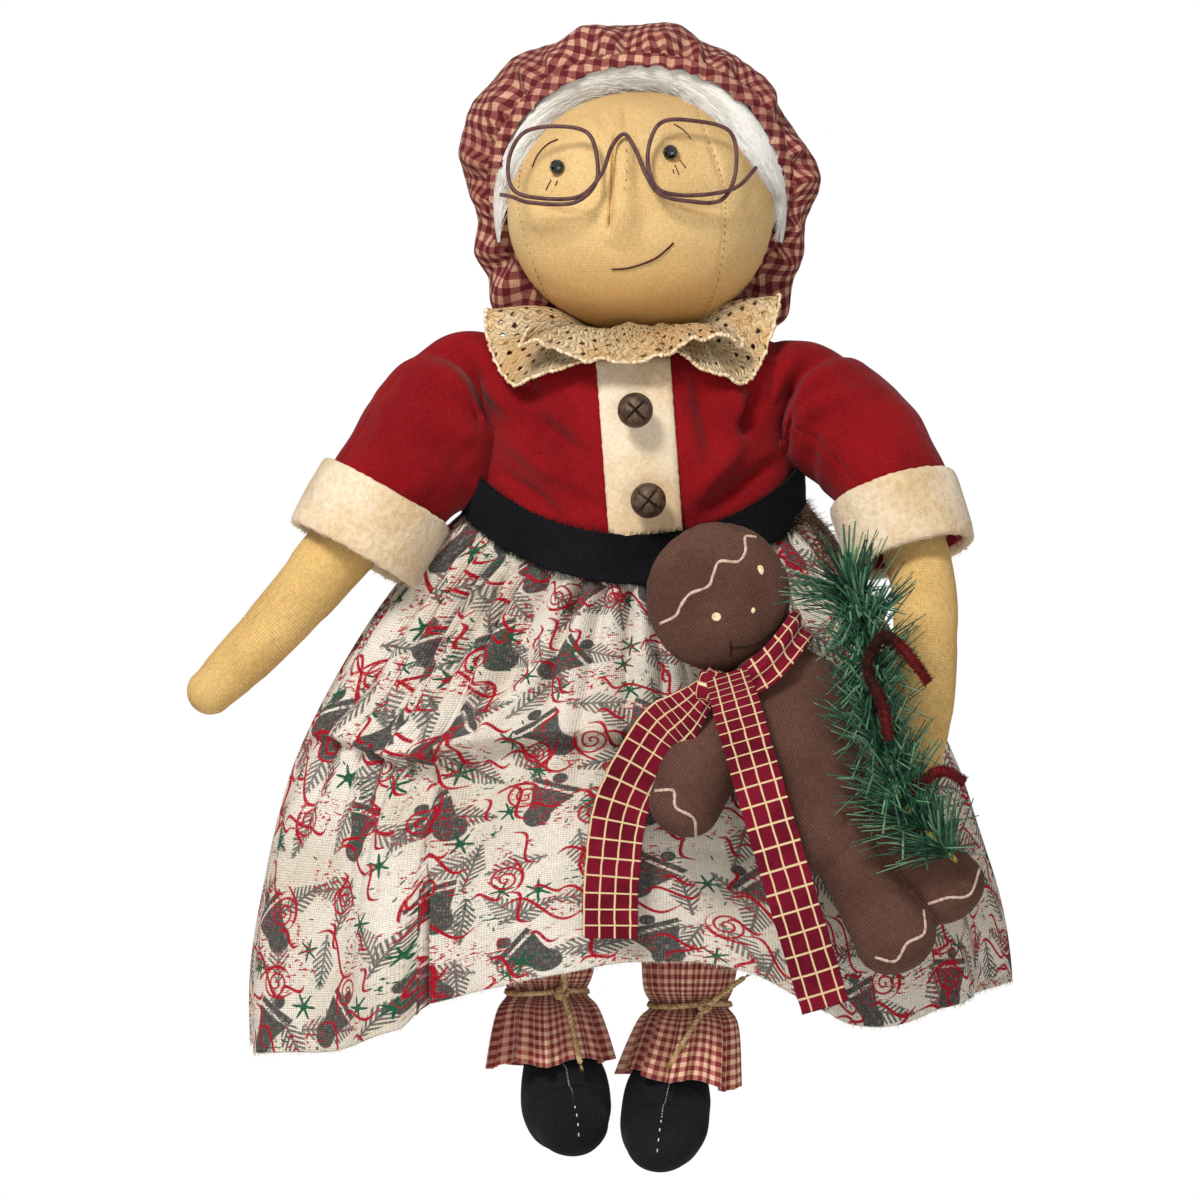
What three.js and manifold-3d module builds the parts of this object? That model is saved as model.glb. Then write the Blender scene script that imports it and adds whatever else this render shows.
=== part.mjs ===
import * as THREE from 'three';
import { mergeVertices } from 'three/addons/utils/BufferGeometryUtils.js';
import Module from 'manifold-3d';

const wasm = await Module();
wasm.setup();

// Sizes are in millimetres. +X is the viewer's right, +Y is the back and +Z is up.
// The origin is the middle of the back face of the hanging loop.
// A station of a stuffed piece is [x, y, z, half width, half depth].

// Shared
const clearance = 0.3;
const feltThickness = 1.5;
const bodyY = -40;

// Head, with its eyes, hair, cap and spectacles
const headX = 2;
const headZ = 65.8;
const headHalfWidth = 51.5;
const headHalfDepth = 44;
const headHalfHeight = 48;
const noseHeight = 4;
const noseHalfWidth = 4.5;
const noseTopX = -4.5;
const noseTopZ = 92;
const noseTipX = -8.5;
const noseTipZ = 58;
const eyeRadius = 3;
const eyeLeftX = -30;
const eyeLeftZ = 81.6;
const eyeRightX = 13.5;
const eyeRightZ = 87;
const hairThickness = 5.3;
const hairEndThickness = 2.6;
const hairHalfDepth = 8;
const hairStartAngle = -0.06;
const capHalfWidth = 66.5;
const capHalfDepth = 42;
const capHalfHeight = 57.5;
const capZ = 79;
const capY = -21;
const capPuffs = 13;
const capPuffHeight = 2.2;
const capBoxiness = 2.5;
const capMouthTopY = -57;
const capMouthTopZ = 126;
const capMouthLowY = -14;
const capMouthLowZ = 25;
const frillThickness = 2.6;
const frillGap = 1.2;
const frillCrinkles = 20;
const wireRadius = 0.8;
const wireBow = 0.006;
const wireLean = 0.28;
const wireStandOff = 7;
const bridgeX = -4.2;
const bridgeZ = 94;

// Body and clothes
const neckRadius = 13;
const neckTopZ = 21;
const shoulderZ = 3;
const chestZ = -25;
const waistZ = -58;
const hipZ = -120;
const seatZ = -138;
const shoulderHalfWidth = 44;
const chestHalfWidth = 50;
const waistHalfWidth = 46;
const hipHalfWidth = 46;
const shoulderHalfDepth = 23;
const chestHalfDepth = 28;
const waistHalfDepth = 27;
const hipHalfDepth = 28;
const bodiceThickness = 5;
const bodiceShoulder = 9;
const bodiceNeckZ = 13;
const bodiceNeckHalfWidth = 26;
const bodiceNeckHalfDepth = 21;
const hemSideZ = -40;
const hemFrontDrop = 29;
const hemBackDrop = 12;
const placketHalfWidth = 14.3;
const placketTopZ = 4;
const placketTopX = -0.6;
const placketFootX = 4.4;
const sashHeight = 18;
const sashThickness = 2.6;
const collarHalfWidth = 55;
const collarHalfDepth = 36;
const collarNeckZ = 16.2;
const collarEdgeZ = 7;
const collarWingRise = 11;
const collarBackRise = 7.5;
const collarThickness = 1.4;
const collarRuffles = 9;
const collarRuffleHeight = 5.5;
const skirtThickness = 2;
const skirtHemHalfWidth = 149;
const skirtHemHalfDepth = 54;
const skirtFlare = 2.7;
const skirtHemZ = -250;
const skirtHemLean = 9;
const skirtFrontLift = 26;
const skirtFolds = 11;
const skirtFoldDepth = 4;
const lapDepth = 3;
const creaseDepth = 11;
const creaseAngle = -0.6;
const dipDepth = 22;
const dipAngle = 0.62;

// Hanging loop and bells
const loopLength = 30;
const loopFlat = 13;
const loopHalfHeight = 4;
const loopFoot = 6;
const bellRadius = 6.5;
const bellWall = 0.7;
const bellSlit = 1.3;
const bellBallRadius = 2.2;
const shankRadius = 1.4;
const shankLength = 2.4;
const upperBellX = 0;
const upperBellZ = -12;
const lowerBellX = 5;
const lowerBellZ = -46.6;

// Arms
const armholeHalfHeight = 17;
const armholeHalfDepth = 19;
const sleeveHalfWidth = 22;
const rightCuffHalfWidth = 24;
const leftCuffHalfWidth = 21.5;
const cuffThickness = 2.2;
const cuffLength = 28;
const hemPeek = 2;
const upperArmRadius = 12.5;
const wristRadius = 11;
const handRadius = 9.3;

// Legs
const legRadius = 10;
const bloomerRadius = 19;
const tieRadius = 13.8;
const ruffleRadius = 22.5;
const ankleRadius = 12;
const bootHalfWidth = 17.2;
const toeRadius = 12;
const juteRadius = 1;
const juteKnotRadius = 2.6;
const juteKnotX = 6;
const juteTails = {
  right: [[[3, -4.5, -9], [5, -6.5, -19], [7, -8, -27]], [[1, -3.5, 5], [0, -5.5, 9]]],
  left: [[[3, -4.5, -9], [6, -6, -18], [9, -7, -25]], [[-5, -4.5, -8], [-11, -5, -17]]],
};

// Gingerbread toy, scarf and garland
const toyY = -109;
const skirtFrontY = -100.8;
const toyHeadRadius = 27.5;
const toyHalfDepth = 14.5;
const toyBodyHalfWidth = 21;
const toyNeckHalfWidth = 15;
const toyLimbRadius = 15;
const scarfThickness = 1.3;
const scarfBandHeight = 13;
const longTailWidth = 18.5;
const shortTailWidth = 21;
const scarfKnotRadius = 5.5;
const stemRadius = 1.5;
const needleLength = 17;
const needleRadius = 0.4;
const needlesPerSprig = 60;
const needleLean = 0.9;
const needleSpread = 1.25;
const chenilleRadius = 1.8;

const vec = (x, y, z) => new THREE.Vector3(x, y, z);
const mix = (a, b, t) => a + (b - a) * t;
const bump = (x, middle, width) => Math.exp(-(((x - middle) / width) ** 2));
const along = (count) => Array.from({ length: count + 1 }, (_, i) => i / count);
const around = (count, pointAt) =>
  Array.from({ length: count }, (_, i) => pointAt((i / count) * 2 * Math.PI));

// Stretches a skin over rings of points. A row that isn't closed gets a fan at each end.
function skin(rings, { closed = false, start = null, end = null } = {}) {
  const count = rings[0].length;
  const points = rings.flat();
  const faces = [];
  const spans = closed ? rings.length : rings.length - 1;
  for (let ring = 0; ring < spans; ring++) {
    const here = ring * count;
    const next = ((ring + 1) % rings.length) * count;
    for (let side = 0; side < count; side++) {
      const after = (side + 1) % count;
      faces.push(here + side, next + side, next + after, here + side, next + after, here + after);
    }
  }
  if (!closed) {
    const middleOf = (ring) => ring.reduce((sum, p) => sum.add(p), vec(0, 0, 0)).divideScalar(count);
    points.push(start ?? middleOf(rings[0]), end ?? middleOf(rings[rings.length - 1]));
    const last = (rings.length - 1) * count;
    for (let side = 0; side < count; side++) {
      const after = (side + 1) % count;
      faces.push(points.length - 2, side, after, points.length - 1, last + after, last + side);
    }
  }
  let volume = 0;
  for (let i = 0; i < faces.length; i += 3) {
    const [a, b, c] = [points[faces[i]], points[faces[i + 1]], points[faces[i + 2]]];
    volume += a.dot(b.clone().cross(c));
  }
  const geometry = new THREE.BufferGeometry().setFromPoints(points);
  geometry.setIndex(volume > 0 ? faces : faces.reverse());
  geometry.computeVertexNormals();
  return geometry;
}

// An oval section swept along a smooth line through its stations, with round or flat ends.
function stuffed(stations, { sides = 10, steps = 6, grow = 0, round = [true, true], across } = {}) {
  const line = (points) => new THREE.CatmullRomCurve3(points, false, 'catmullrom');
  const centres = line(stations.map(([x, y, z]) => vec(x, y, z)));
  const sizes = line(stations.map(([, , , wide, deep]) => vec(wide, deep, 0)));
  const oval = (t, shift, share) => {
    const forward = centres.getTangent(t);
    const wideWay = across ? across.clone() : forward.clone().cross(vec(0, 1, 0));
    wideWay.addScaledVector(forward, -wideWay.dot(forward)).normalize();
    const deepWay = wideWay.clone().cross(forward);
    const size = sizes.getPoint(t);
    const centre = centres.getPoint(t).addScaledVector(forward, shift);
    return around(sides, (angle) => centre.clone()
      .addScaledVector(wideWay, (size.x + grow) * share * Math.cos(angle))
      .addScaledVector(deepWay, (size.y + grow) * share * Math.sin(angle)));
  };
  const endOf = (t, way, isRound) => {
    const size = sizes.getPoint(t);
    const reach = isRound ? Math.min(size.x, size.y) + grow : grow;
    const pole = centres.getPoint(t).addScaledVector(centres.getTangent(t), way * reach);
    const flat = grow > 0 ? [oval(t, way * grow, 1)] : [];
    const dome = [Math.PI / 6, Math.PI / 3].map(
      (angle) => oval(t, way * reach * Math.cos(angle), Math.sin(angle)));
    return { pole, rings: isRound ? dome : flat };
  };
  const first = endOf(0, -1, round[0]);
  const last = endOf(1, 1, round[1]);
  const middle = along(steps).map((t) => oval(t, 0, 1));
  const rings = [...first.rings, ...middle, ...last.rings.reverse()];
  return skin(rings, { start: first.pole, end: last.pole });
}

// A closed wall between two rows of rings.
const wall = (outer, inner) => skin([...outer, ...[...inner].reverse()], { closed: true });

// A flat band along a line, with its faces towards the front and the back
function ribbon(line, width, thickness, shares = along(8)) {
  const faceWay = vec(0, 1, 0);
  return skin(shares.map((t) => {
    const centre = line.getPoint(t);
    const wideWay = line.getTangent(t).cross(faceWay).normalize();
    return [[-1, -1], [1, -1], [1, 1], [-1, 1]].map(([w, f]) => centre.clone()
      .addScaledVector(wideWay, (w * width) / 2)
      .addScaledVector(faceWay, (f * thickness) / 2));
  }));
}

// A round wire or yarn along a smooth line.
function wire(points, radius, { sides = 6, steps = 20, closed = false } = {}) {
  const line = new THREE.CatmullRomCurve3(points, closed);
  const section = new THREE.Shape(
    around(sides, (angle) => new THREE.Vector2(Math.cos(angle), Math.sin(angle)).multiplyScalar(radius)));
  return new THREE.ExtrudeGeometry(section, { steps, bevelEnabled: false, extrudePath: line });
}

function ball(radius, centre, across = 12, up = 8) {
  return new THREE.SphereGeometry(radius, across, up).translate(...centre);
}

function toSolid(geometry) {
  const bare = geometry.clone();
  bare.deleteAttribute('normal');
  bare.deleteAttribute('uv');
  const merged = mergeVertices(bare, 1e-4);
  return new wasm.Manifold(new wasm.Mesh({
    numProp: 3,
    vertProperties: Float32Array.from(merged.attributes.position.array),
    triVerts: Uint32Array.from(merged.index.array),
  }));
}

function toGeometry(solid) {
  const { vertProperties, triVerts } = solid.getMesh();
  const geometry = new THREE.BufferGeometry();
  geometry.setAttribute('position', new THREE.Float32BufferAttribute(vertProperties, 3));
  geometry.setIndex(Array.from(triVerts));
  geometry.computeVertexNormals();
  return geometry;
}

const cut = (geometry, ...tools) =>
  toGeometry(tools.reduce((solid, tool) => solid.subtract(toSolid(tool)), toSolid(geometry)));
const join = (...geometries) =>
  toGeometry(geometries.map(toSolid).reduce((solid, more) => solid.add(more)));
const common = (a, b) => toGeometry(toSolid(a).intersect(toSolid(b)));

const doll = new THREE.Group();

function add(name, geometry, color, roughness = 0.9, metalness = 0) {
  const material = new THREE.MeshStandardMaterial({ color, roughness, metalness });
  const mesh = new THREE.Mesh(geometry, material);
  mesh.name = name;
  doll.add(mesh);
}

const colors = {
  cotton: 0xd9b26e, felt: 0xa5191c, cream: 0xe8d7b9, fleece: 0xdec8a8, lace: 0xd8c6a2,
  black: 0x141418, linen: 0xded2c0, gingham: 0xa05f55, wool: 0xe8e0d4, glass: 0x0a0a0c,
  wire: 0x5f413e, bell: 0x584a3e, gingerbread: 0x583e36, scarf: 0x731426, pine: 0x2d5f41,
  chenille: 0x5a2826, jute: 0xb99b6e,
};

// Head: a stuffed ball with a pinched nose ridge
const headFaceY = (x, z) => {
  const across = ((x - headX) / headHalfWidth) ** 2;
  const up = ((z - headZ) / headHalfHeight) ** 2;
  return bodyY - headHalfDepth * Math.sqrt(Math.max(0, 1 - across - up));
};

function headShape(grow = 0) {
  const geometry = new THREE.SphereGeometry(1, 26, 14).rotateX(Math.PI / 2);
  const place = geometry.attributes.position;
  const noseTurn = -Math.asin((headX - noseTopX) / headHalfWidth);
  for (let i = 0; i < place.count; i++) {
    // The rows of points crowd together towards the nose.
    const turn = Math.atan2(place.getX(i), -place.getY(i)) - noseTurn;
    const crowded = turn - 0.55 * Math.sin(turn) + noseTurn;
    const reach = Math.hypot(place.getX(i), place.getY(i));
    place.setXY(i, reach * Math.sin(crowded), -reach * Math.cos(crowded));
    const x = headX + place.getX(i) * (headHalfWidth + grow);
    const y = bodyY + place.getY(i) * (headHalfDepth + grow);
    const z = headZ + place.getZ(i) * (headHalfHeight + grow);
    const share = Math.min(1, Math.max(0, (z - noseTipZ) / (noseTopZ - noseTipZ)));
    const noseX = mix(noseTipX, noseTopX, share);
    const middleZ = (noseTopZ + noseTipZ) / 2;
    const front = Math.min(1, Math.max(0, -2 * place.getY(i)));
    const ridge = front * noseHeight
      * bump(x, noseX, noseHalfWidth * 1.4) * bump(z, middleZ, (noseTopZ - noseTipZ) * 0.7);
    place.setXYZ(i, x, y - ridge, z);
  }
  return geometry;
}

const neckShape = (grow = 0) => stuffed([
  [headX, bodyY, shoulderZ, neckRadius, neckRadius],
  [headX, bodyY, neckTopZ, neckRadius, neckRadius],
], { sides: 14, steps: 1, grow, round: [false, false], across: vec(1, 0, 0) });

const eyes = { left: [eyeLeftX, eyeLeftZ], right: [eyeRightX, eyeRightZ] };
const eyeShape = ([x, z], grow = 0) =>
  ball(eyeRadius + grow, [x, headFaceY(x, z) - eyeRadius / 3, z], 10, 7);

add('head', cut(headShape(), neckShape(2 * clearance),
  ...Object.values(eyes).map((eye) => eyeShape(eye, clearance))), colors.cotton);
for (const [side, eye] of Object.entries(eyes)) {
  add(`eye_bead_${side}`, eyeShape(eye), colors.glass, 0.1);
}

// The mouth of the cap leans back from the top of the face to the nape.
const mouthLean = (capMouthTopY - capMouthLowY) / (capMouthTopZ - capMouthLowZ);
const mouthY = (z) => capMouthLowY + (z - capMouthLowZ) * mouthLean;

// Hair: a band of wool over the head, just in front of the cap
function hairShape(grow = 0) {
  const stations = along(6).map((t) => {
    const angle = mix(hairStartAngle, Math.PI - hairStartAngle, t);
    const x = headX + (headHalfWidth + 1.2) * Math.cos(angle);
    const z = headZ + (headHalfHeight + 4) * Math.sin(angle);
    const thick = mix(hairEndThickness, hairThickness, Math.max(0, Math.sin(angle)));
    return [x, mouthY(z) - hairHalfDepth - frillGap, z, thick, hairHalfDepth];
  });
  return stuffed(stations, { sides: 7, steps: 12, grow });
}
add('hair_band', cut(hairShape(), headShape(clearance)), colors.wool);

// Cap: a puffed crown, gathered at its mouth into a narrow crinkled frill
function capShape() {
  const geometry = new THREE.SphereGeometry(1, 39, 10);
  const place = geometry.attributes.position;
  for (let i = 0; i < place.count; i++) {
    const [x, y, z] = [place.getX(i), place.getY(i), place.getZ(i)];
    const angle = Math.atan2(z, x);
    const power = capBoxiness;
    const reach = Math.hypot(x, z);
    const box = reach < 1e-6 ? 1
      : (Math.abs(Math.cos(angle)) ** power + Math.abs(Math.sin(angle)) ** power) ** (-1 / power);
    const puff = 1 + (capPuffHeight / capHalfWidth) * Math.cos(capPuffs * angle) * reach;
    place.setXYZ(i, headX + x * box * puff * capHalfWidth, capY + y * capHalfDepth,
      capZ + z * box * puff * capHalfHeight);
  }
  return geometry;
}
const mouthTilt = Math.atan2(capMouthLowY - capMouthTopY, capMouthTopZ - capMouthLowZ);
const mouthBlock = new THREE.BoxGeometry(4 * capHalfWidth, 4 * capHalfDepth, 6 * capHalfHeight)
  .translate(0, -2 * capHalfDepth, 0)
  .rotateX(mouthTilt)
  .translate(headX, capMouthLowY, capMouthLowZ);
add('cap_crown', cut(capShape(), mouthBlock, headShape(clearance), hairShape(clearance),
  neckShape(clearance + 2)), colors.gingham);

function frillShape() {
  const steps = 40;
  const ring = (angle) => {
    const thick = frillThickness * (1 + 0.25 * Math.cos(frillCrinkles * angle));
    const x = headX + (headHalfWidth + 6) * Math.cos(angle);
    const z = capZ - 3 + (capHalfHeight - 9) * Math.sin(angle);
    const middle = vec(x, mouthY(z) - thick * 1.1 - clearance - 0.6, z);
    const outWay = vec(Math.cos(angle), 0, Math.sin(angle));
    return around(4, (turn) => middle.clone()
      .addScaledVector(outWay, thick * Math.cos(turn))
      .add(vec(0, thick * Math.sin(turn), 0)));
  };
  return skin(around(steps, ring), { closed: true });
}
add('cap_frill', cut(frillShape(), headShape(clearance), hairShape(clearance)), colors.gingham);

// Spectacles: one wire bent round both lenses, with an end tucked in at each side of the face
const wireY = (x, z, front) => headFaceY(noseTopX, bridgeZ) - wireStandOff - clearance - wireRadius
  - (bridgeZ - z) * wireLean + (x - bridgeX) ** 2 * wireBow - front;
const turns = [
  // x, z, how far in front
  [-51.5, 71, -5], [-47.5, 70, 0], [-40, 67.5, 2], [-24, 67.2, 2], [-15.6, 74, 0], [-14.6, 84, 0],
  [-18.5, 94.5, 0], [-31, 97, 0], [-43, 94.5, 0], [-48.6, 84, 0], [-47, 73, 2.2], [-38, 69.5, 0],
  [-22, 69.6, 0], [-13.2, 78, 2.2], [-9, 89, -1.4], [bridgeX, bridgeZ, -4.8], [0, 88, -0.6], [4.2, 78, 2.2],
  [9.5, 70.6, 2], [20, 68, 2], [33, 68.6, 0], [38.6, 80, 0], [36.5, 95, 0], [22, 99.2, 0],
  [9.5, 98, 0], [4.8, 86, 0], [7.5, 74, 0], [16, 70.4, 0], [30, 71, 2.2], [39.5, 74, 2.2], [46.5, 81.5, -3],
];
add('spectacles', wire(turns.map(([x, z, front]) => vec(x, wireY(x, z, front), z)), wireRadius,
  { sides: 5, steps: 62 }), colors.wire, 0.5, 0.3);

// Body, with the neck standing on it
const torsoShape = (grow = 0) => stuffed([
  [0, bodyY, shoulderZ, shoulderHalfWidth * 0.6, shoulderHalfDepth * 0.8],
  [0, bodyY, shoulderZ - 12, shoulderHalfWidth, shoulderHalfDepth],
  [0, bodyY, chestZ, chestHalfWidth, chestHalfDepth],
  [0, bodyY, waistZ, waistHalfWidth, waistHalfDepth],
  [0, bodyY, hipZ, hipHalfWidth, hipHalfDepth],
  [0, bodyY, seatZ, hipHalfWidth * 0.8, hipHalfDepth * 0.8],
], { sides: 18, steps: 7, grow, round: [false, false], across: vec(1, 0, 0) });

// The jacket's hem and the skirt's waist follow one line that dips at the front.
const hemZ = (angle) => {
  const front = Math.cos(angle);
  return hemSideZ - (front > 0 ? hemFrontDrop : hemBackDrop) * Math.abs(front) ** 1.5;
};
// A point on an upright oval round the body, with angle 0 at the front
const ovalPoint = (angle, wide, deep, z) =>
  vec(wide * Math.sin(angle), bodyY - deep * Math.cos(angle), z);

const bodiceSizes = [
  // share of the height, half width, half depth
  [0, bodiceNeckHalfWidth, bodiceNeckHalfDepth],
  [0.07, shoulderHalfWidth + bodiceShoulder, shoulderHalfDepth + bodiceThickness - 1],
  [0.24, chestHalfWidth + bodiceThickness, chestHalfDepth + bodiceThickness],
  [0.6, chestHalfWidth + bodiceThickness + 2, chestHalfDepth + bodiceThickness + 1],
  [1, chestHalfWidth + bodiceThickness, chestHalfDepth + bodiceThickness],
];
const bodiceShape = (grow = 0) => skin(bodiceSizes.map(([share, wide, deep], level) => {
  const lift = [grow, 0, 0, 0, -grow][level];
  return around(24, (angle) => ovalPoint(angle, wide + grow, deep + grow,
    mix(bodiceNeckZ, hemZ(angle), share) + lift));
}));
const bodice = cut(bodiceShape(), torsoShape(clearance), neckShape(clearance));
add('torso', join(torsoShape(), neckShape()), colors.cotton);
add('bodice', bodice, colors.felt);

const placketFront = clearance + feltThickness;

// Bells: a hollow shell with crossed slits, a loose ball and a shank sewn to the placket
const bells = { upper: [upperBellX, upperBellZ], lower: [lowerBellX, lowerBellZ] };
const placketY = bodyY - chestHalfDepth - bodiceThickness - 1 - placketFront;
for (const [name, [x, z]] of Object.entries(bells)) {
  const y = placketY - clearance - shankLength - clearance - bellRadius;
  const slit = (wide, high) => new THREE.BoxGeometry(wide, 2 * bellRadius, high)
    .translate(x, y - bellRadius, z);
  const shell = cut(ball(bellRadius, [x, y, z], 12, 7), ball(bellRadius - bellWall, [x, y, z], 8, 6),
    slit(bellSlit, 1.5 * bellRadius), slit(1.5 * bellRadius, bellSlit));
  add(`${name}_bell`, shell, colors.bell, 0.55, 0.8);
  const drop = bellRadius - bellWall - bellBallRadius - 2 * clearance;
  add(`${name}_bell_ball`, ball(bellBallRadius, [x, y, z - drop], 8, 6), colors.bell, 0.5, 0.8);
  const shank = new THREE.CylinderGeometry(shankRadius, shankRadius, 3 * shankLength, 8)
    .translate(x, placketY - clearance + shankLength / 2, z);
  add(`${name}_bell_shank`, cut(shank, bodiceShape(placketFront + clearance)), colors.bell, 0.55, 0.8);
}

// Sash: a felt band over the seam of the jacket and the skirt
const bandRing = (wide, deep, lift) =>
  around(28, (angle) => ovalPoint(angle, wide, deep, hemZ(angle) + lift));
const sashWide = chestHalfWidth + bodiceThickness + 2 + clearance;
const sashDeep = chestHalfDepth + bodiceThickness + 1 + clearance;
const half = sashHeight / 2;
const sashRows = [[half, 0], [0, 0.7], [-half, 1.2]];
function sashShape(grow = 0) {
  const row = (out) => sashRows.map(([lift, flare]) => bandRing(
    sashWide + flare + out, sashDeep + flare + out, lift + Math.sign(lift) * grow));
  return wall(row(sashThickness + grow), row(-grow));
}
add('sash', sashShape(), colors.black);

// Placket: a strip of felt down the front of the jacket
const placketFootZ = hemZ(0) + sashHeight / 3;
const placketBlock = (() => {
  const deep = 3 * bodiceThickness;
  const y = bodyY - chestHalfDepth;
  const row = (x, z) => [[-1, 0], [1, 0], [1, -1], [-1, -1]].map(
    ([w, d]) => vec(x + w * placketHalfWidth, y + d * deep, z));
  return skin([row(placketTopX, placketTopZ), row(placketFootX, placketFootZ)]);
})();
add('placket', cut(common(bodiceShape(placketFront), placketBlock),
  bodiceShape(clearance), sashShape(clearance)), colors.cream);

// Skirt: gathered under the sash, with main folds, a lap all round and one deep crease
const skirtShares = [0, 0.06, 0.13, 0.24, 0.4, 0.45, 0.52, 0.74, 1];
const tuckedShare = half / (hemSideZ - skirtHemZ);
const skirtLowZ = (angle) => skirtHemZ + skirtHemLean * Math.sin(angle)
  + skirtFrontLift * Math.max(0, Math.cos(angle)) ** 3 - dipDepth * bump(angle, dipAngle, 0.2);
function skirtRing(share, inset) {
  return around(42, (turn) => {
    const angle = turn > Math.PI ? turn - 2 * Math.PI : turn;
    const free = Math.max(0, (share - tuckedShare) / (1 - tuckedShare));
    const spread = 1 - (1 - free) ** skirtFlare;
    const top = hemZ(angle) - clearance;
    const folds = skirtFoldDepth * Math.sqrt(free) * Math.cos(skirtFolds * angle + 1.2);
    const crease = creaseDepth * bump(angle, creaseAngle, 0.11) * Math.max(0, share - 0.4) * 1.6;
    const extra = folds - crease + lapDepth * bump(share, 0.43, 0.04) - inset;
    const waistWide = waistHalfWidth + skirtThickness + 4;
    const waistDeep = waistHalfDepth + skirtThickness + 3;
    return ovalPoint(angle, mix(waistWide, skirtHemHalfWidth, spread) + extra,
      mix(waistDeep, skirtHemHalfDepth, spread) + extra, mix(top, skirtLowZ(angle), share));
  });
}
const skirtWall = wall(skirtShares.map((share) => skirtRing(share, 0)),
  skirtShares.map((share) => skirtRing(share, skirtThickness)));
add('skirt', cut(skirtWall, torsoShape(clearance), bodiceShape(clearance), sashShape(clearance)),
  colors.linen);

// Collar: a ruffle of lace round the neck, lying on the jacket with its wings raised
const collarRow = [[0, 0], [0.35, 0.12], [0.7, 0.5], [1, 1]];
const collarRing = ([out, fall], drop) => around(36, (angle) => {
  const side = Math.abs(Math.sin(angle)) ** 3;
  const ruffle = collarRuffleHeight * Math.cos(collarRuffles * angle + 0.6) * out ** 2;
  const back = Math.max(0, -Math.cos(angle)) ** 2;
  const edge = collarEdgeZ + side * collarWingRise + back * collarBackRise + ruffle;
  return ovalPoint(angle, mix(neckRadius + 2, collarHalfWidth, out),
    mix(neckRadius + 2, collarHalfDepth, out), mix(collarNeckZ, edge, fall) - drop)
    .add(vec(headX * (1 - out), 0, 0));
});
const collarWall = wall(collarRow.map((row) => collarRing(row, 0)),
  collarRow.map((row) => collarRing(row, collarThickness)));
add('lace_collar', cut(collarWall, bodiceShape(clearance), torsoShape(clearance),
  headShape(clearance + 0.4)), colors.lace);

// Hanging loop: a felt strip that stands off the jacket's back, sewn down at both ends
const backY = bodyY + chestHalfDepth + bodiceThickness;
const loopTurns = [
  [-loopLength / 2, backY - 1], [-loopLength / 2 + loopFoot, backY + 0.6],
  [-loopFlat / 2, -feltThickness / 2], [loopFlat / 2, -feltThickness / 2],
  [loopLength / 2 - loopFoot, backY + 0.6], [loopLength / 2, backY - 1],
];
const strip = skin(loopTurns.map(([x, y]) => [[-1, -1], [1, -1], [1, 1], [-1, 1]].map(
  ([w, f]) => vec(x, y + (f * feltThickness) / 2, w * loopHalfHeight))));
add('hanging_loop', cut(strip, bodiceShape(clearance)), colors.felt);

// Arms: a stuffed arm in a full sleeve with a fleece cuff, which all swing at the shoulder
const armholeX = chestHalfWidth + bodiceThickness + 2 + clearance;
const sleeves = {
  right: {
    stations: [
      [-armholeX, bodyY, shoulderZ - 1, armholeHalfHeight, armholeHalfDepth],
      [-73, -42, -3, 19, 20.5],
      [-82, -44, -20, sleeveHalfWidth, 21.5],
      [-95.5, -48, -43, rightCuffHalfWidth, 22],
    ],
    way: vec(-0.488, -0.07, -0.87),
    cuff: rightCuffHalfWidth,
    arm: [
      [-66, bodyY, shoulderZ - 2, upperArmRadius, upperArmRadius],
      [-84, -44, -24, upperArmRadius, upperArmRadius],
      [-104, -49, -54, upperArmRadius + 0.5, upperArmRadius],
      [-119, -52, -71, upperArmRadius + 1, upperArmRadius],
      [-130, -53.5, -85, upperArmRadius, upperArmRadius - 0.5],
      [-149.5, -56, -106, wristRadius, wristRadius],
      [-163.4, -58, -119.6, handRadius, handRadius],
    ],
  },
  left: {
    stations: [
      [armholeX, bodyY, shoulderZ - 1, armholeHalfHeight, armholeHalfDepth],
      [74, -43, -4, 19, 20.5],
      [87, -49, -21, sleeveHalfWidth - 0.5, 21],
      [99, -56, -42, leftCuffHalfWidth + 0.5, 20.5],
    ],
    way: vec(0.28, -0.25, -0.926),
    cuff: leftCuffHalfWidth,
    arm: [
      [66, bodyY, shoulderZ - 2, upperArmRadius, upperArmRadius],
      [87, -49, -21, upperArmRadius, upperArmRadius],
      [103, -59, -53, upperArmRadius, upperArmRadius],
      [110, -68, -76, upperArmRadius, upperArmRadius],
      [111.5, -78, -97, upperArmRadius, upperArmRadius - 0.5],
      [110, -90, -125, wristRadius + 0.5, wristRadius],
      [107.2, -97, -148.4, handRadius, handRadius],
    ],
  },
};

const sleeveShape = ({ stations, way, cuff }, grow = 0) => {
  const [x, y, z] = stations[stations.length - 1];
  const hem = vec(x, y, z).addScaledVector(way.clone().normalize(), cuffLength + hemPeek);
  return stuffed([...stations, [...hem, cuff, cuff - 1]],
    { sides: 14, steps: 7, grow, round: [false, false] });
};
const armShape = ({ arm }, grow = 0) => stuffed(arm, { sides: 10, steps: 9, grow });

// Nothing of an arm or a sleeve comes nearer to the jacket than the flat of the armhole.
const armholeBlock = new THREE.BoxGeometry(2 * armholeX, 4 * chestHalfDepth, 3 * chestHalfDepth)
  .translate(0, bodyY, shoulderZ);

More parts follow.
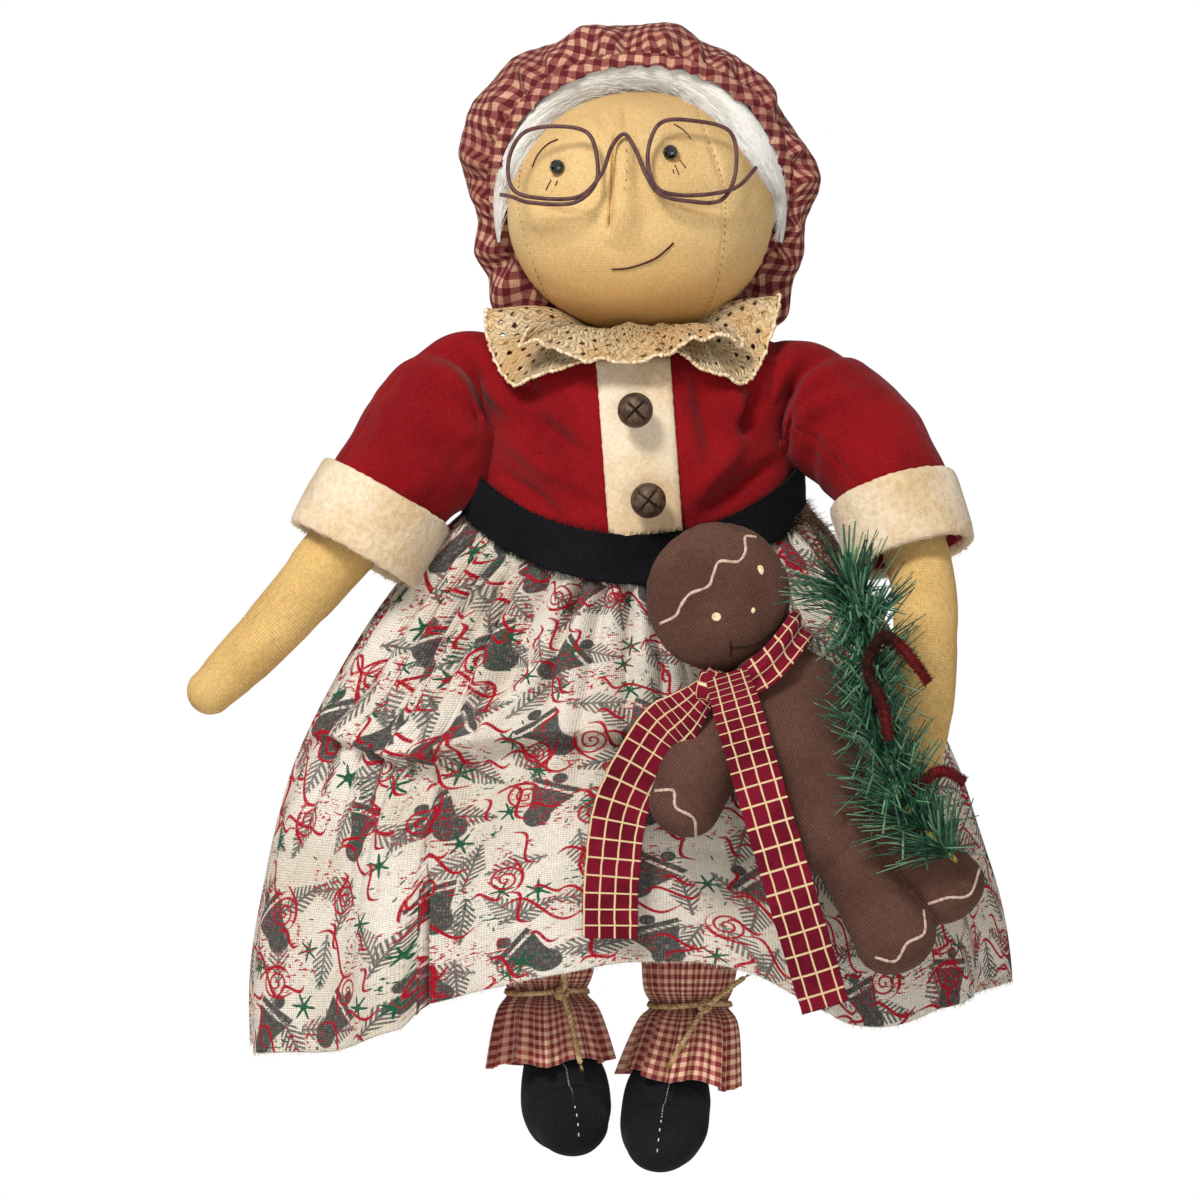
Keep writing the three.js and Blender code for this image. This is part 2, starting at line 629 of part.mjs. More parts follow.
for (const [side, sleeve] of Object.entries(sleeves)) {
  const { stations, way, cuff } = sleeve;
  const wayDown = way.clone().normalize();
  const [x, y, z] = stations[stations.length - 1];
  const acrossWay = wayDown.clone().cross(vec(0, 1, 0)).normalize();
  const deepWay = acrossWay.clone().cross(wayDown);
  const ring = (share, out) => around(16, (angle) => vec(x, y, z)
    .addScaledVector(wayDown, share * cuffLength)
    .addScaledVector(acrossWay, (cuff + out) * Math.cos(angle))
    .addScaledVector(deepWay, (cuff - 1 + out) * Math.sin(angle)));
  const puffs = [[0, 0.5], [0.14, 1], [0.86, 1.1], [1, 0.5]];
  const cuffWall = wall(puffs.map(([share, out]) => ring(share, 1 + out * cuffThickness)),
    puffs.map(([share]) => ring(share, -2)));
  add(`${side}_cuff`, cut(cuffWall, sleeveShape(sleeve, clearance)), colors.fleece);
  add(`${side}_sleeve`, cut(sleeveShape(sleeve), armShape(sleeve, clearance), armholeBlock), colors.felt);
  add(`${side}_arm`, cut(armShape(sleeve), armholeBlock), colors.cotton);
}

// Legs: a stuffed leg and boot, in bloomers tied above a ruffle
const legTopZ = seatZ - clearance - legRadius;
const legs = {
  right: { hip: [-24, legTopZ], knee: [-31, -195], tie: [-34, -236], ruffle: [-32.8, -263],
    boot: [[-30.5, -40, -256], [-27.5, -42, -270], [-26, -50, -282.5], [-24, -59, -288]] },
  left: { hip: [23, legTopZ], knee: [23, -200], tie: [21.2, -241], ruffle: [17.6, -270],
    boot: [[16.5, -40, -262], [12.8, -42, -276], [10.8, -50, -288.5], [9.6, -59, -294]] },
};
for (const [side, { hip, knee, tie, ruffle, boot }] of Object.entries(legs)) {
  const bootSizes = [[ankleRadius, ankleRadius], [bootHalfWidth, bootHalfWidth - 1.5],
    [bootHalfWidth, bootHalfWidth - 1.5], [toeRadius + 2, toeRadius]];
  const bootShape = (grow = 0) => stuffed(boot.map((place, i) => [...place, ...bootSizes[i]]),
    { sides: 12, steps: 6, grow, round: [false, true], across: vec(1, 0, 0) });
  const legShape = (grow = 0) => stuffed([
    [hip[0], bodyY, hip[1], legRadius, legRadius],
    [knee[0], bodyY, knee[1], legRadius, legRadius],
    [tie[0], bodyY, tie[1], legRadius, legRadius],
    [boot[0][0], bodyY, boot[0][2] + clearance, legRadius, legRadius],
  ], { sides: 10, steps: 5, grow, round: [true, false] });
  const cloth = [
    [hip[0], bodyY, hip[1] - legRadius, bloomerRadius * 0.8, bloomerRadius * 0.8],
    [knee[0], bodyY, knee[1], bloomerRadius, bloomerRadius],
    [tie[0], bodyY, tie[1] + 9, bloomerRadius - 2, bloomerRadius - 2],
    [tie[0], bodyY, tie[1], tieRadius, tieRadius],
    [tie[0], bodyY, tie[1] - 7, bloomerRadius - 1, bloomerRadius - 1],
    [ruffle[0], bodyY, ruffle[1], ruffleRadius, ruffleRadius],
  ];
  const bloomer = stuffed(cloth, { sides: 12, steps: 10, round: [false, false] });
  add(`${side}_leg`, cut(legShape(), bootShape(clearance)), colors.cotton);
  add(`${side}_boot`, bootShape(), colors.black);
  add(`${side}_bloomer`, cut(bloomer, legShape(clearance), bootShape(clearance)), colors.gingham);

  // Jute: a yarn round the bloomer with a knot and its loose ends in front
  const ringRadius = tieRadius + 1.7 * juteRadius + clearance;
  const yarn = around(14, (angle) => {
    const out = vec(Math.sin(angle), -Math.cos(angle), 0);
    return around(4, (turn) => vec(tie[0], bodyY, tie[1])
      .addScaledVector(out, ringRadius + juteRadius * Math.cos(turn))
      .add(vec(0, 0, juteRadius * Math.sin(turn))));
  });
  const knot = vec(tie[0] + juteKnotX, bodyY - ringRadius, tie[1]);
  const tails = juteTails[side].map((tail) => wire(
    [knot, ...tail.map(([x, y, z]) => knot.clone().add(vec(x, y, z)))], juteRadius * 0.8,
    { sides: 4, steps: 5 }));
  add(`${side}_jute_tie`, join(skin(yarn, { closed: true }),
    ball(juteKnotRadius, knot.toArray(), 7, 5), ...tails), colors.jute);
}

// Gingerbread toy: a stuffed head, body, arms and legs, each sewn to the next
const toyHeadX = 31.6;
const toyHeadZ = -83.5;
const toyHeadShape = (grow = 0) => new THREE.SphereGeometry(1, 16, 10)
  .scale(toyHeadRadius + grow, toyHalfDepth + grow, toyHeadRadius + 1 + grow)
  .translate(toyHeadX, toyY + 1, toyHeadZ);
const toyBodyShape = (grow = 0) => stuffed([
  [44, toyY, -106, toyNeckHalfWidth, toyHalfDepth - 2],
  [53, toyY, -124, toyBodyHalfWidth - 1, toyHalfDepth],
  [66, toyY, -150, toyBodyHalfWidth, toyHalfDepth],
  [79, toyY - 1, -174, toyBodyHalfWidth, toyHalfDepth],
], { sides: 12, steps: 6, grow });
const toyLimbs = {
  arm_near: [[39, toyY - 1, -127, 12, 10], [27, toyY - 3, -145, toyLimbRadius, 12],
    [18.5, toyY - 4, -163, toyLimbRadius - 1, 12]],
  arm_far: [[68, toyY, -118, 10, 9], [81, toyY + 3, -119, 11, 9], [94, toyY + 8, -121, 10, 8]],
  leg_near: [[82, toyY - 1, -180, toyLimbRadius, 13], [91, toyY - 2, -198, toyLimbRadius, 13],
    [99.5, toyY - 3, -214, toyLimbRadius + 1, 13]],
  leg_far: [[93, toyY, -168, toyLimbRadius - 1, 12], [107, toyY - 1, -181, toyLimbRadius - 1, 12],
    [119.6, toyY - 2, -195, toyLimbRadius, 12]],
};
const toyLimbShape = (name, grow = 0) => stuffed(toyLimbs[name], { sides: 10, steps: 4, grow });
const toyCuts = {
  arm_near: [toyBodyShape(clearance)],
  arm_far: [toyBodyShape(clearance), armShape(sleeves.left, clearance)],
  leg_near: [toyBodyShape(clearance)],
  leg_far: [toyBodyShape(clearance), toyLimbShape('leg_near', clearance)],
};
add('gingerbread_head', toyHeadShape(), colors.gingerbread);
add('gingerbread_body', cut(toyBodyShape(), toyHeadShape(clearance)), colors.gingerbread);
for (const [name, cutters] of Object.entries(toyCuts)) {
  add(`gingerbread_${name}`, cut(toyLimbShape(name), ...cutters, toyHeadShape(clearance)),
    colors.gingerbread);
}

// Scarf: a band round the toy's neck, a knot and two flat tails
const neckMiddle = vec(46, toyY, -109.5);
const neckWay = vec(0.5, 0, -0.87).normalize();
const neckAcross = vec(0.87, 0, 0.5).normalize();
const scarfRing = (lift, out) => around(14, (angle) => neckMiddle.clone()
  .addScaledVector(neckWay, lift)
  .addScaledVector(neckAcross, (toyBodyHalfWidth + 1.5 + out) * Math.cos(angle))
  .add(vec(0, (toyHalfDepth + 1.5 + out) * Math.sin(angle), 0)));
const bandLifts = [-scarfBandHeight / 2, 0, scarfBandHeight / 2];
const bandInner = scarfThickness + 3;
const bandWall = wall(bandLifts.map((lift) => scarfRing(lift, 0)),
  bandLifts.map((lift) => scarfRing(lift, -bandInner)));
add('scarf_band', cut(bandWall, toyHeadShape(clearance), toyBodyShape(clearance),
  toyLimbShape('arm_near', clearance), toyLimbShape('arm_far', clearance)), colors.scarf);

const tailY = toyY - toyHalfDepth - 2 * clearance - 2 * scarfThickness - 0.6;
const knotShape = (grow = 0) => new THREE.SphereGeometry(1, 12, 8)
  .scale(scarfKnotRadius + grow, scarfKnotRadius * 0.7 + grow, scarfKnotRadius * 1.1 + grow)
  .translate(31, tailY + 3.6, -118);
const knotCuts = [toyHeadShape(clearance), toyBodyShape(clearance), toyLimbShape('arm_near', clearance)];
const bandBlock = wall(bandLifts.map((lift) => scarfRing(lift * 1.06, clearance)),
  bandLifts.map((lift) => scarfRing(lift * 1.06, -bandInner - clearance)));
add('scarf_knot', cut(knotShape(), bandBlock, ...knotCuts), colors.scarf);
const tails = {
  long: ribbon(new THREE.CatmullRomCurve3([vec(37, tailY, -121), vec(46, tailY - 0.4, -152),
    vec(59, tailY, -196), vec(72.4, tailY + 10, -240)]), longTailWidth, scarfThickness),
  short: ribbon(new THREE.CatmullRomCurve3([vec(25, tailY + 3, -122), vec(8, tailY + 14, -138),
    vec(-5, tailY + 24.5, -163), vec(-9, skirtFrontY, -190), vec(-9.6, skirtFrontY, -214)]),
  shortTailWidth, scarfThickness),
};
for (const [name, tail] of Object.entries(tails)) {
  add(`scarf_${name}_tail`, cut(tail, bandBlock, knotShape(clearance), ...knotCuts), colors.scarf);
}

// Garland: four sprigs of needles fused to a stem, and a twist of chenille in front
const stemY = toyY - 10.3;
const chenilleY = stemY - stemRadius - chenilleRadius - clearance;
const chenille = {
  chenille_loop: [[96, -0.5, -138], [93.4, -0.6, -124], [88, -1.6, -112], [90, -2.6, -103], [95, -3, -98.5],
    [103, -3, -105], [111, -1, -116]],
  chenille_end: [[103.5, -2.6, -158.5], [112, -4.2, -154], [121, -4.8, -151.5], [129, -4, -156]],
};
const chenilleShape = (name, grow = 0) => wire(
  chenille[name].map(([x, front, z]) => vec(x, chenilleY + front, z)), chenilleRadius + grow,
  { sides: 6, steps: name === 'chenille_loop' ? 16 : 4 });

const stemLine = new THREE.CatmullRomCurve3([
  [75, 0, -77], [85, -0.5, -99], [91.5, -0.2, -122], [97.5, 0, -147], [107, -3, -168], [121, -5, -189],
].map(([x, front, z]) => vec(x, stemY + front, z)));
const sprigs = 4;
const inTheWay = [
  armShape(sleeves.left, clearance), ...Object.keys(chenille).map((name) => chenilleShape(name, clearance)),
  ...Object.keys(toyLimbs).map((name) => toyLimbShape(name, clearance)), toyBodyShape(clearance),
  sleeveShape(sleeves.left, clearance + 2 * cuffThickness), bandBlock, toyHeadShape(clearance),
].map(toSolid);
const goldenTurn = Math.PI * (3 - Math.sqrt(5));
const stemGap = clearance / stemLine.getLength() / 2;
const spans = Array.from({ length: sprigs },
  (_, sprig) => [sprig / sprigs + stemGap, (sprig + 1) / sprigs - stemGap]);
const stems = spans.map((span) => toSolid(wire(
  along(3).map((t) => stemLine.getPointAt(mix(...span, t))), stemRadius, { sides: 4, steps: 2 })));
for (let sprig = 0; sprig < sprigs; sprig++) {
  const span = spans[sprig];
  const others = [...inTheWay, ...stems.filter((_, i) => i !== sprig)];
  let solid = stems[sprig];
  for (let needle = 0; needle < needlesPerSprig; needle++) {
    const share = mix(...span, (needle + 0.5) / needlesPerSprig);
    const root = stemLine.getPointAt(share);
    const forward = stemLine.getTangentAt(share);
    const turn = (((needle * goldenTurn) / Math.PI) % 2) - 1;
    const outWay = vec(0, -1, 0).applyAxisAngle(forward, turn * needleSpread);
    const tilt = needleLean * (0.75 + 0.25 * Math.cos(needle * 2.1));
    const way = outWay.multiplyScalar(Math.sin(tilt)).addScaledVector(forward, Math.cos(tilt));
    const long = needleLength * (0.85 + 0.15 * Math.sin(needle * 1.7));
    const spike = new THREE.ConeGeometry(needleRadius, long, 3)
      .translate(0, long / 2, 0)
      .applyQuaternion(new THREE.Quaternion().setFromUnitVectors(vec(0, 1, 0), way.normalize()))
      .translate(...root);
    const strand = toSolid(spike);
    if (others.every((other) => strand.intersect(other).isEmpty())) solid = solid.add(strand);
  }
  inTheWay.push(solid);
  add(`garland_sprig_${sprig + 1}`, toGeometry(solid), colors.pine);
}
for (const name of Object.keys(chenille)) add(name, chenilleShape(name), colors.chenille);

export default doll;
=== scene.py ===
import math
import random

import bmesh
import bpy
from mathutils import Matrix, Vector, noise


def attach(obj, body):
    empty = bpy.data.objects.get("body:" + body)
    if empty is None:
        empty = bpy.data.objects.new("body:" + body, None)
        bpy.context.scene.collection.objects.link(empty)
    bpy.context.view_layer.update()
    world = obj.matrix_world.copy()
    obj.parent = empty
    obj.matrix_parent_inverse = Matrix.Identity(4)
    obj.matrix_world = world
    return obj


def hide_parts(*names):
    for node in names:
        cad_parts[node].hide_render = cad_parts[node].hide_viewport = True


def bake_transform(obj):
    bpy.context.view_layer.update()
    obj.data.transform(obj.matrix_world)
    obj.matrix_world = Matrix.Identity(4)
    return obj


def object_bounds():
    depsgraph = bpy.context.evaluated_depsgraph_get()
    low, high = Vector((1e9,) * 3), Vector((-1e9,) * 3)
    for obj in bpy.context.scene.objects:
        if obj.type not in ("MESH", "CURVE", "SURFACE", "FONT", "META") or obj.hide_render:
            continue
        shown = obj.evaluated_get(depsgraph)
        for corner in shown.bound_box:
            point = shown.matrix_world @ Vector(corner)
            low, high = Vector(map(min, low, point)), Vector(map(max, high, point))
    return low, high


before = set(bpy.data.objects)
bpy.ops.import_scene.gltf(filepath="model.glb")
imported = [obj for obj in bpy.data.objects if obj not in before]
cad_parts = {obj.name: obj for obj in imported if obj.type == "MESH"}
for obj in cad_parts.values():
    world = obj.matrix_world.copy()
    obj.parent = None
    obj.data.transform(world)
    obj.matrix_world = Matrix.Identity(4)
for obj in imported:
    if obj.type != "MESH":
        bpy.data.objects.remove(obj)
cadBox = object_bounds()
print("frame loaded:", len(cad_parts), "nodes")

# All sizes below are in millimetres, and a piece is turned into metres when its mesh is done.
# +X is to the viewer's right, +Y is the back and +Z is up.
fullTurn = 2 * math.pi
bodyY = -40  # the middle of the body, from front to back
insideBody = (0, bodyY, -60)
dice = random.Random(7)


def link(made):
    bpy.context.scene.collection.objects.link(made)
    return made


def meshOf(name, bm):
    mesh = bpy.data.meshes.new(name)
    bm.to_mesh(mesh)
    bm.free()
    return mesh


# Camera: the photograph's view from straight in front, far off
photo = {"middle": (-13.5, -60, -84.7), "width": 462, "distance": 5000, "sensor": 36}


def setUpCamera():
    data = bpy.data.cameras.new("camera")
    camera = link(bpy.data.objects.new("camera", data))
    x, y, z = photo["middle"]
    data.sensor_width = photo["sensor"]
    data.lens = photo["sensor"] * photo["distance"] / photo["width"]
    data.clip_end = 50
    camera.location = Vector((x, y - photo["distance"], z)) / 1000
    camera.rotation_euler = (math.pi / 2, 0, 0)
    bpy.context.scene.camera = camera


setUpCamera()


# Finishes: a socket that takes part in Python sums, and a material made of such sockets
class Socket:
    def __init__(self, finish, plug):
        self.finish, self.plug = finish, plug

    def math(self, operation, *others):
        return self.finish.sum(operation, self, *others)

    def __add__(self, other):
        return self.math("ADD", other)

    def __radd__(self, other):
        return self.math("ADD", other)

    def __sub__(self, other):
        return self.math("SUBTRACT", other)

    def __rsub__(self, other):
        return self.finish.sum("SUBTRACT", other, self)

    def __mul__(self, other):
        return self.math("MULTIPLY", other)

    def __rmul__(self, other):
        return self.math("MULTIPLY", other)

    def __truediv__(self, other):
        return self.math("DIVIDE", other)

    def __pow__(self, other):
        return self.math("POWER", other)

    def __lt__(self, other):
        return self.math("LESS_THAN", other)

    def __abs__(self):
        return self.math("ABSOLUTE")


def rgb(code):
    parts = [int(code[i:i + 2], 16) / 255 for i in (0, 2, 4)]
    return (*[c / 12.92 if c <= 0.04045 else ((c + 0.055) / 1.055) ** 2.4 for c in parts], 1)


class Finish:
    def __init__(self, name):
        self.material = bpy.data.materials.new(name)
        self.material.use_nodes = True
        self.tree = self.material.node_tree
        self.shader = self.tree.nodes["Principled BSDF"]
        coordinates = self.node("ShaderNodeTexCoord").plug.node.outputs
        self.uv = Socket(self, coordinates["UV"])
        self.place = Socket(self, coordinates["Object"])

    def node(self, kind, settings=None, inputs=(), out=0):
        node = self.tree.nodes.new(kind)
        for setting, value in (settings or {}).items():
            setattr(node, setting, value)
        for key, value in inputs.items() if isinstance(inputs, dict) else enumerate(inputs):
            if isinstance(value, Socket):
                self.tree.links.new(value.plug, node.inputs[key])
            else:
                node.inputs[key].default_value = value
        return Socket(self, node.outputs[out])

    def sum(self, operation, *values):
        return self.node("ShaderNodeMath", {"operation": operation}, values)

    def split(self, vector):
        outputs = self.node("ShaderNodeSeparateXYZ", None, [vector]).plug.node.outputs
        return [Socket(self, plug) for plug in outputs]

    def vector(self, operation, *values):
        return self.node("ShaderNodeVectorMath", {"operation": operation}, values)

    def mix(self, factor, first, second, blend="MIX"):
        settings = {"data_type": "RGBA", "blend_type": blend}
        return self.node("ShaderNodeMix", settings, {0: factor, 6: first, 7: second}, 2)

    def grain(self, vector, scale, detail=3, rough=0.55, stretch=None):
        if stretch:
            vector = self.vector("MULTIPLY", vector, stretch)
        return self.node("ShaderNodeTexNoise", None,
                         {"Vector": vector, "Scale": scale, "Detail": detail, "Roughness": rough})

    def between(self, value, low, high):
        settings = {"interpolation_type": "SMOOTHSTEP"}
        return self.node("ShaderNodeMapRange", settings, [value, low, high, 0.0, 1.0])

    def done(self, color, rough=0.9, height=None, deep=0.0003, **fixed):
        values = {"Base Color": color, "Roughness": rough, "Specular IOR Level": 0.05, **fixed}
        for name, value in values.items():
            socket = self.shader.inputs[name]
            if isinstance(value, Socket):
                self.tree.links.new(value.plug, socket)
            else:
                socket.default_value = value
        if height is not None:
            bump = self.node("ShaderNodeBump", None, {"Height": height, "Distance": deep})
            self.tree.links.new(bump.plug, self.shader.inputs["Normal"])
        return self.material


# Cloth: threads in two directions over a colour that may be a pattern; UV is in millimetres
def clothFinish(name, light, dark, spacing, pattern=None, twill=False, weaveShadeAndSlubStrength=0.25, stain=0.6, deep=0.00025,
                teaAndChinShade=None):
    f = Finish(name)
    if twill:
        x, _, z = f.split(f.vector("MULTIPLY", f.place, (1000, 1000, 1000)))
        f.uv = f.node("ShaderNodeCombineXYZ", None, [x, z])
    x, y, _ = f.split(f.uv)
    across = (x * (math.pi / spacing)).math("SINE")
    down = ((y * (math.pi / spacing)) + (x * (math.pi / spacing) if twill else 0.0)).math("SINE")
    crossing = abs(across * down) ** 0.5 if not twill else down * 0.5 + 0.5
    slubs = sum(f.grain(f.uv, 1.0, stretch=way) * 0.5 for way in ((0.35, 2.2, 1), (2.2, 0.35, 1)))
    mottle = f.between(f.grain(f.place, 38, 4), 0.35, 0.68)
    base = pattern(f, f.uv, slubs) if pattern else f.mix(mottle * stain, rgb(light), rgb(dark))
    # The gaps between the thread domes are painted darker as painted shade; thick yarns also vary the colour
    # at random.
    weaveShadeAndSlubs = 1 - weaveShadeAndSlubStrength * (1 - crossing) * 0.8 - weaveShadeAndSlubStrength * (f.between(slubs, 0.35, 0.65) - 0.5)
    color = f.mix(1.0, base, f.node("ShaderNodeCombineXYZ", None, [weaveShadeAndSlubs] * 3), "MULTIPLY")
    # The cloth turns darker towards the bottom of the piece: partly a tea stain, partly painted shade under
    # the chin.
    if teaAndChinShade:
        height = f.split(f.place)[2] + (mottle - 0.5) * 0.006
        color = f.mix(f.between(height, teaAndChinShade[0], teaAndChinShade[1]), color, rgb(teaAndChinShade[2]), "MULTIPLY")
    return f.done(color, 0.92, crossing * 0.6 + slubs * 0.8, deep, **{"Sheen Weight": 0.04})


def feltFinish(name, light, dark, scale=900, flecks=None, deep=0.0005, sheen=0.06, stain=0.5):
    f = Finish(name)
    curls = f.grain(f.place, scale, 4, 0.7)
    lumps = f.grain(f.place, scale / 5, 3)
    mottle = f.between(f.grain(f.place, 30, 3), 0.35, 0.68)
    color = f.mix(f.between(curls, 0.35, 0.7) * 0.5 + mottle * stain, rgb(light), rgb(dark))
    if flecks:
        spots = f.between(f.grain(f.place, scale * 1.6, 2), 0.69, 0.75)
        color = f.mix(spots * 0.45, color, rgb(flecks))
    return f.done(color, 0.96, curls * 0.6 + lumps * 0.6, deep, **{"Sheen Weight": sheen})


def ginghamPattern(period, dark, middle, light):
    def pattern(f, uv, slubs):
        x, y, _ = f.split(uv)
        wander = (slubs - 0.5) * 0.5
        stripes = [f.between((axis / period + wander * 0.12).math("FRACT").math("PINGPONG", 0.5), 0.22, 0.27)
                   for axis in (x, y)]
        both = stripes[0] * stripes[1]
        either = stripes[0] + stripes[1] - both
        pale = f.mix(f.between(f.grain(f.place, 45), 0.4, 0.65) * 0.5, rgb(light), rgb(middle))
        return f.mix(both, f.mix(either, pale, rgb(middle)), rgb(dark))
    return pattern


def windowpanePattern(period, line, ground, stripe):
    def pattern(f, uv, slubs):
        x, y, _ = f.split(uv)
        marks = []
        for axis, thick in ((x, line), (y, line * 0.8)):
            near = (axis / period + (slubs - 0.5) * 0.03).math("FRACT").math("PINGPONG", 0.5)
            marks.append(f.between(near, 0.5 - thick / period, 0.5 - 0.35 * thick / period))
        worn = f.between(slubs, 0.3, 0.5) * 0.25 + 0.75
        shade = f.mix(f.between(f.grain(f.place, 60), 0.4, 0.7) * 0.6, rgb(ground), rgb("4e0c1c"))
        return f.mix(marks[0].math("MAXIMUM", marks[1]) * worn, shade, rgb(stripe))
    return pattern


# The skirt's print: bells, leaves, curls, stars and dots, each scattered on its own grid
printColors = {"linen": "efe4d5", "shade": "dfd2bf", "gray": "524e4b", "red": "b01428", "green": "1f5c40"}


def printPattern(f, uv, slubs):
    def scatter(tile, seed, jitter, turn=1.0):
        cells = f.vector("ADD", f.vector("DIVIDE", uv, (tile, tile, 1)), (seed * 7.31, seed * 3.17, 0))
        corner = f.vector("FLOOR", cells)
        luck = f.node("ShaderNodeTexWhiteNoise", {"noise_dimensions": "3D"}, [corner], 1)
        rx, ry, rz = f.split(luck)
        local = f.vector("SUBTRACT", f.vector("FRACTION", cells), (0.5, 0.5, 0))
        shift = f.vector("MULTIPLY", f.vector("SUBTRACT", luck, (0.5, 0.5, 0.5)), (jitter, jitter, 0))
        spot = f.vector("MULTIPLY", f.vector("SUBTRACT", local, shift), (tile, tile, 0))
        spin = (rz - 0.5) * (fullTurn * turn)
        spun = f.node("ShaderNodeVectorRotate", {"rotation_type": "Z_AXIS"}, {"Vector": spot, "Angle": spin})
        x, y, _ = f.split(spun)
        return x, y, rx, ry

    def radius(x, y):
        return (x * x + y * y) ** 0.5

    def ink(distance, edge=0.25):
        return f.between(distance + (slubs - 0.5) * 1.6, edge, -edge)

    def bells(seed):
        x, y, luck, _ = scatter(38, seed, 0.2, 0.3)
        x, y = x * 0.82, y * 0.82
        flare = 4.2 + 3.6 * f.between(y, 4.0, -8.0)
        body = (abs(x) - flare).math("MAXIMUM", abs(y + 0.5) - 7.5)
        dome = radius(x, y - 6.0) - 4.6
        clapper = radius(x, y + 10.0) - 2.2
        band = abs(y + 5.4) - 0.5
        shape = body.math("MINIMUM", dome).math("MINIMUM", clapper)
        return ink(shape) * (1 - ink(band)) * (luck < 0.62)

    def leaves(seed):
        x, y, luck, _ = scatter(25, seed, 0.3)
        taper = 5.5 - abs(y) * 0.42
        barbs = ((y * 0.42 + abs(x) * 0.38).math("FRACT").math("PINGPONG", 0.5) - 0.27) * 2.4
        feather = barbs.math("MAXIMUM", abs(x) - taper).math("MAXIMUM", abs(y) - 11)
        stem = (abs(x) - 0.55).math("MAXIMUM", abs(y) - 12)
        return ink(feather.math("MINIMUM", stem), 0.3) * (luck < 0.75)

    def curls(seed, tile, size):
        x, y, luck, _ = scatter(tile, seed, 0.45)
        far = radius(x, y)
        turn = y.math("ARCTAN2", x) / fullTurn
        ring = (far / (size * 0.42) - turn).math("FRACT").math("PINGPONG", 0.5)
        spiral = ((ring - 0.17) * (size * 0.42)).math("MAXIMUM", far - size)
        tail = (abs(y - size * 0.9 + x * x * 0.06) - 0.75).math("MAXIMUM", abs(x - size * 0.5) - size)
        return ink(spiral.math("MINIMUM", tail), 0.3) * (luck < 0.82)

    def strokes(seed, tile, size, turn=0.12):
        # a pen stroke like a flat S, thick in its middle
        x, y, luck, _ = scatter(tile, seed, 0.3, turn)
        wave = (x * (3.6 / size)).math("SINE") * (size * 0.3)
        nib = 1.25 - abs(x) * (1.0 / size)
        stroke = (abs(y - wave - x * 0.5) - nib).math("MAXIMUM", abs(x) - size)
        return ink(stroke, 0.3) * (luck < 0.8)

    def stamps(seed):
        # worn patches of short marks
        marks = f.grain(f.vector("ADD", uv, (seed * 11.0, seed * 5.0, 0)), 0.42, 2, 0.5, (1, 1.9, 1))
        patch = f.grain(f.vector("ADD", uv, (seed * 3.0, seed * 17.0, 0)), 0.055, 2)
        return f.between(marks, 0.56, 0.6) * f.between(patch, 0.5, 0.57)

    def stars(seed, tile, size, points=6):
        x, y, luck, _ = scatter(tile, seed, 0.5)
        far = radius(x, y)
        spoke = (y.math("ARCTAN2", x) * points).math("COSINE") * 0.5 + 0.5
        arms = far - size * (0.3 + 0.7 * spoke ** 3.5)
        return ink(arms, 0.3) * (luck < 0.7)

    inks = {name: rgb(code) for name, code in printColors.items()}
    ground = f.mix(f.between(f.grain(f.place, 26), 0.35, 0.7), inks["linen"], inks["shade"])
    worn = 0.78 + 0.22 * f.between(slubs, 0.35, 0.5)
    printed = {
        "gray": [bells(1), leaves(2) * 0.92, leaves(3) * 0.85],
        "green": [stars(7, 31, 5.6), stars(8, 12, 1.1, 2), stars(11, 37, 4.8),
                  stamps(4) * f.between(f.grain(uv, 0.03), 0.5, 0.55)],
        "red": [curls(4, 33, 7.0), strokes(6, 27, 9.0, 0.25), strokes(9, 21, 5.5, 0.5), stamps(1) * 0.95,
                strokes(10, 37, 14.0, 0.2)],
    }
    color = ground
    for name, (first, *others) in printed.items():
        for other in others:
            first = first.math("MAXIMUM", other)
        color = f.mix(first * worn, color, inks[name])
    return color


def laceFinish():
    f = Finish("crochetLace")
    x, y, _ = f.split(f.uv)
    row = (y / 4.2).math("FLOOR")
    inRow = (y / 4.2).math("FRACT") - 0.5
    x = x + (f.grain(f.uv, 0.45) - 0.5) * 2.6
    along = (x / 5.0 + row * 0.5).math("FRACT") - 0.5
    holes = f.between((along * along * 25 + inRow * inRow * 17.6) ** 0.5, 0.95, 0.7)
    wanted = f.between(f.grain(f.uv, 0.13, 2), 0.4, 0.5)
    yarn = ((x * 2.6 + abs(inRow) * 9).math("SINE") * 0.5 + 0.5) * 0.6 + f.grain(f.uv, 1.6, 3) * 0.7
    shade = f.between(f.grain(f.place, 50), 0.35, 0.65)
    # Holes that stay closed, and the yarn at their rims, are painted dark brown as painted shade in the
    # openings.
    color = f.mix(yarn * 0.4 + holes * 0.3, f.mix(shade, rgb("fde6bd"), rgb("ecc38c")), rgb("a3763f"))
    return f.done(color, 0.95, yarn - holes * 0.6, 0.0018, Alpha=1 - holes * wanted)


def hairFinish():
    f = Finish("combedWool")
    strands = f.grain(f.uv, 0.7, 5, 0.7, (0.12, 2.4, 1))
    fluff = f.grain(f.place, 260, 4)
    color = f.mix(f.between(strands, 0.3, 0.7) * 0.6 + fluff * 0.25, rgb("fdf8f1"), rgb("ece2d4"))
    return f.done(color, 0.85, strands * 0.8 + fluff * 0.4, 0.0009,
                  **{"Sheen Weight": 0.4, "Subsurface Weight": 0.15, "Subsurface Scale": 0.002})


def bellFinish():
    f = Finish("rustyBell")
    rust = f.between(f.grain(f.place, 420, 5, 0.65), 0.38, 0.66)
    pits = f.grain(f.place, 1500, 3)
    color = f.mix(rust, rgb("40342b"), rgb("6f5544"))
    return f.done(color, 0.42 + rust * 0.3, pits + rust * 0.4, 0.00012, Metallic=0.65,
                  **{"Specular IOR Level": 0.4})


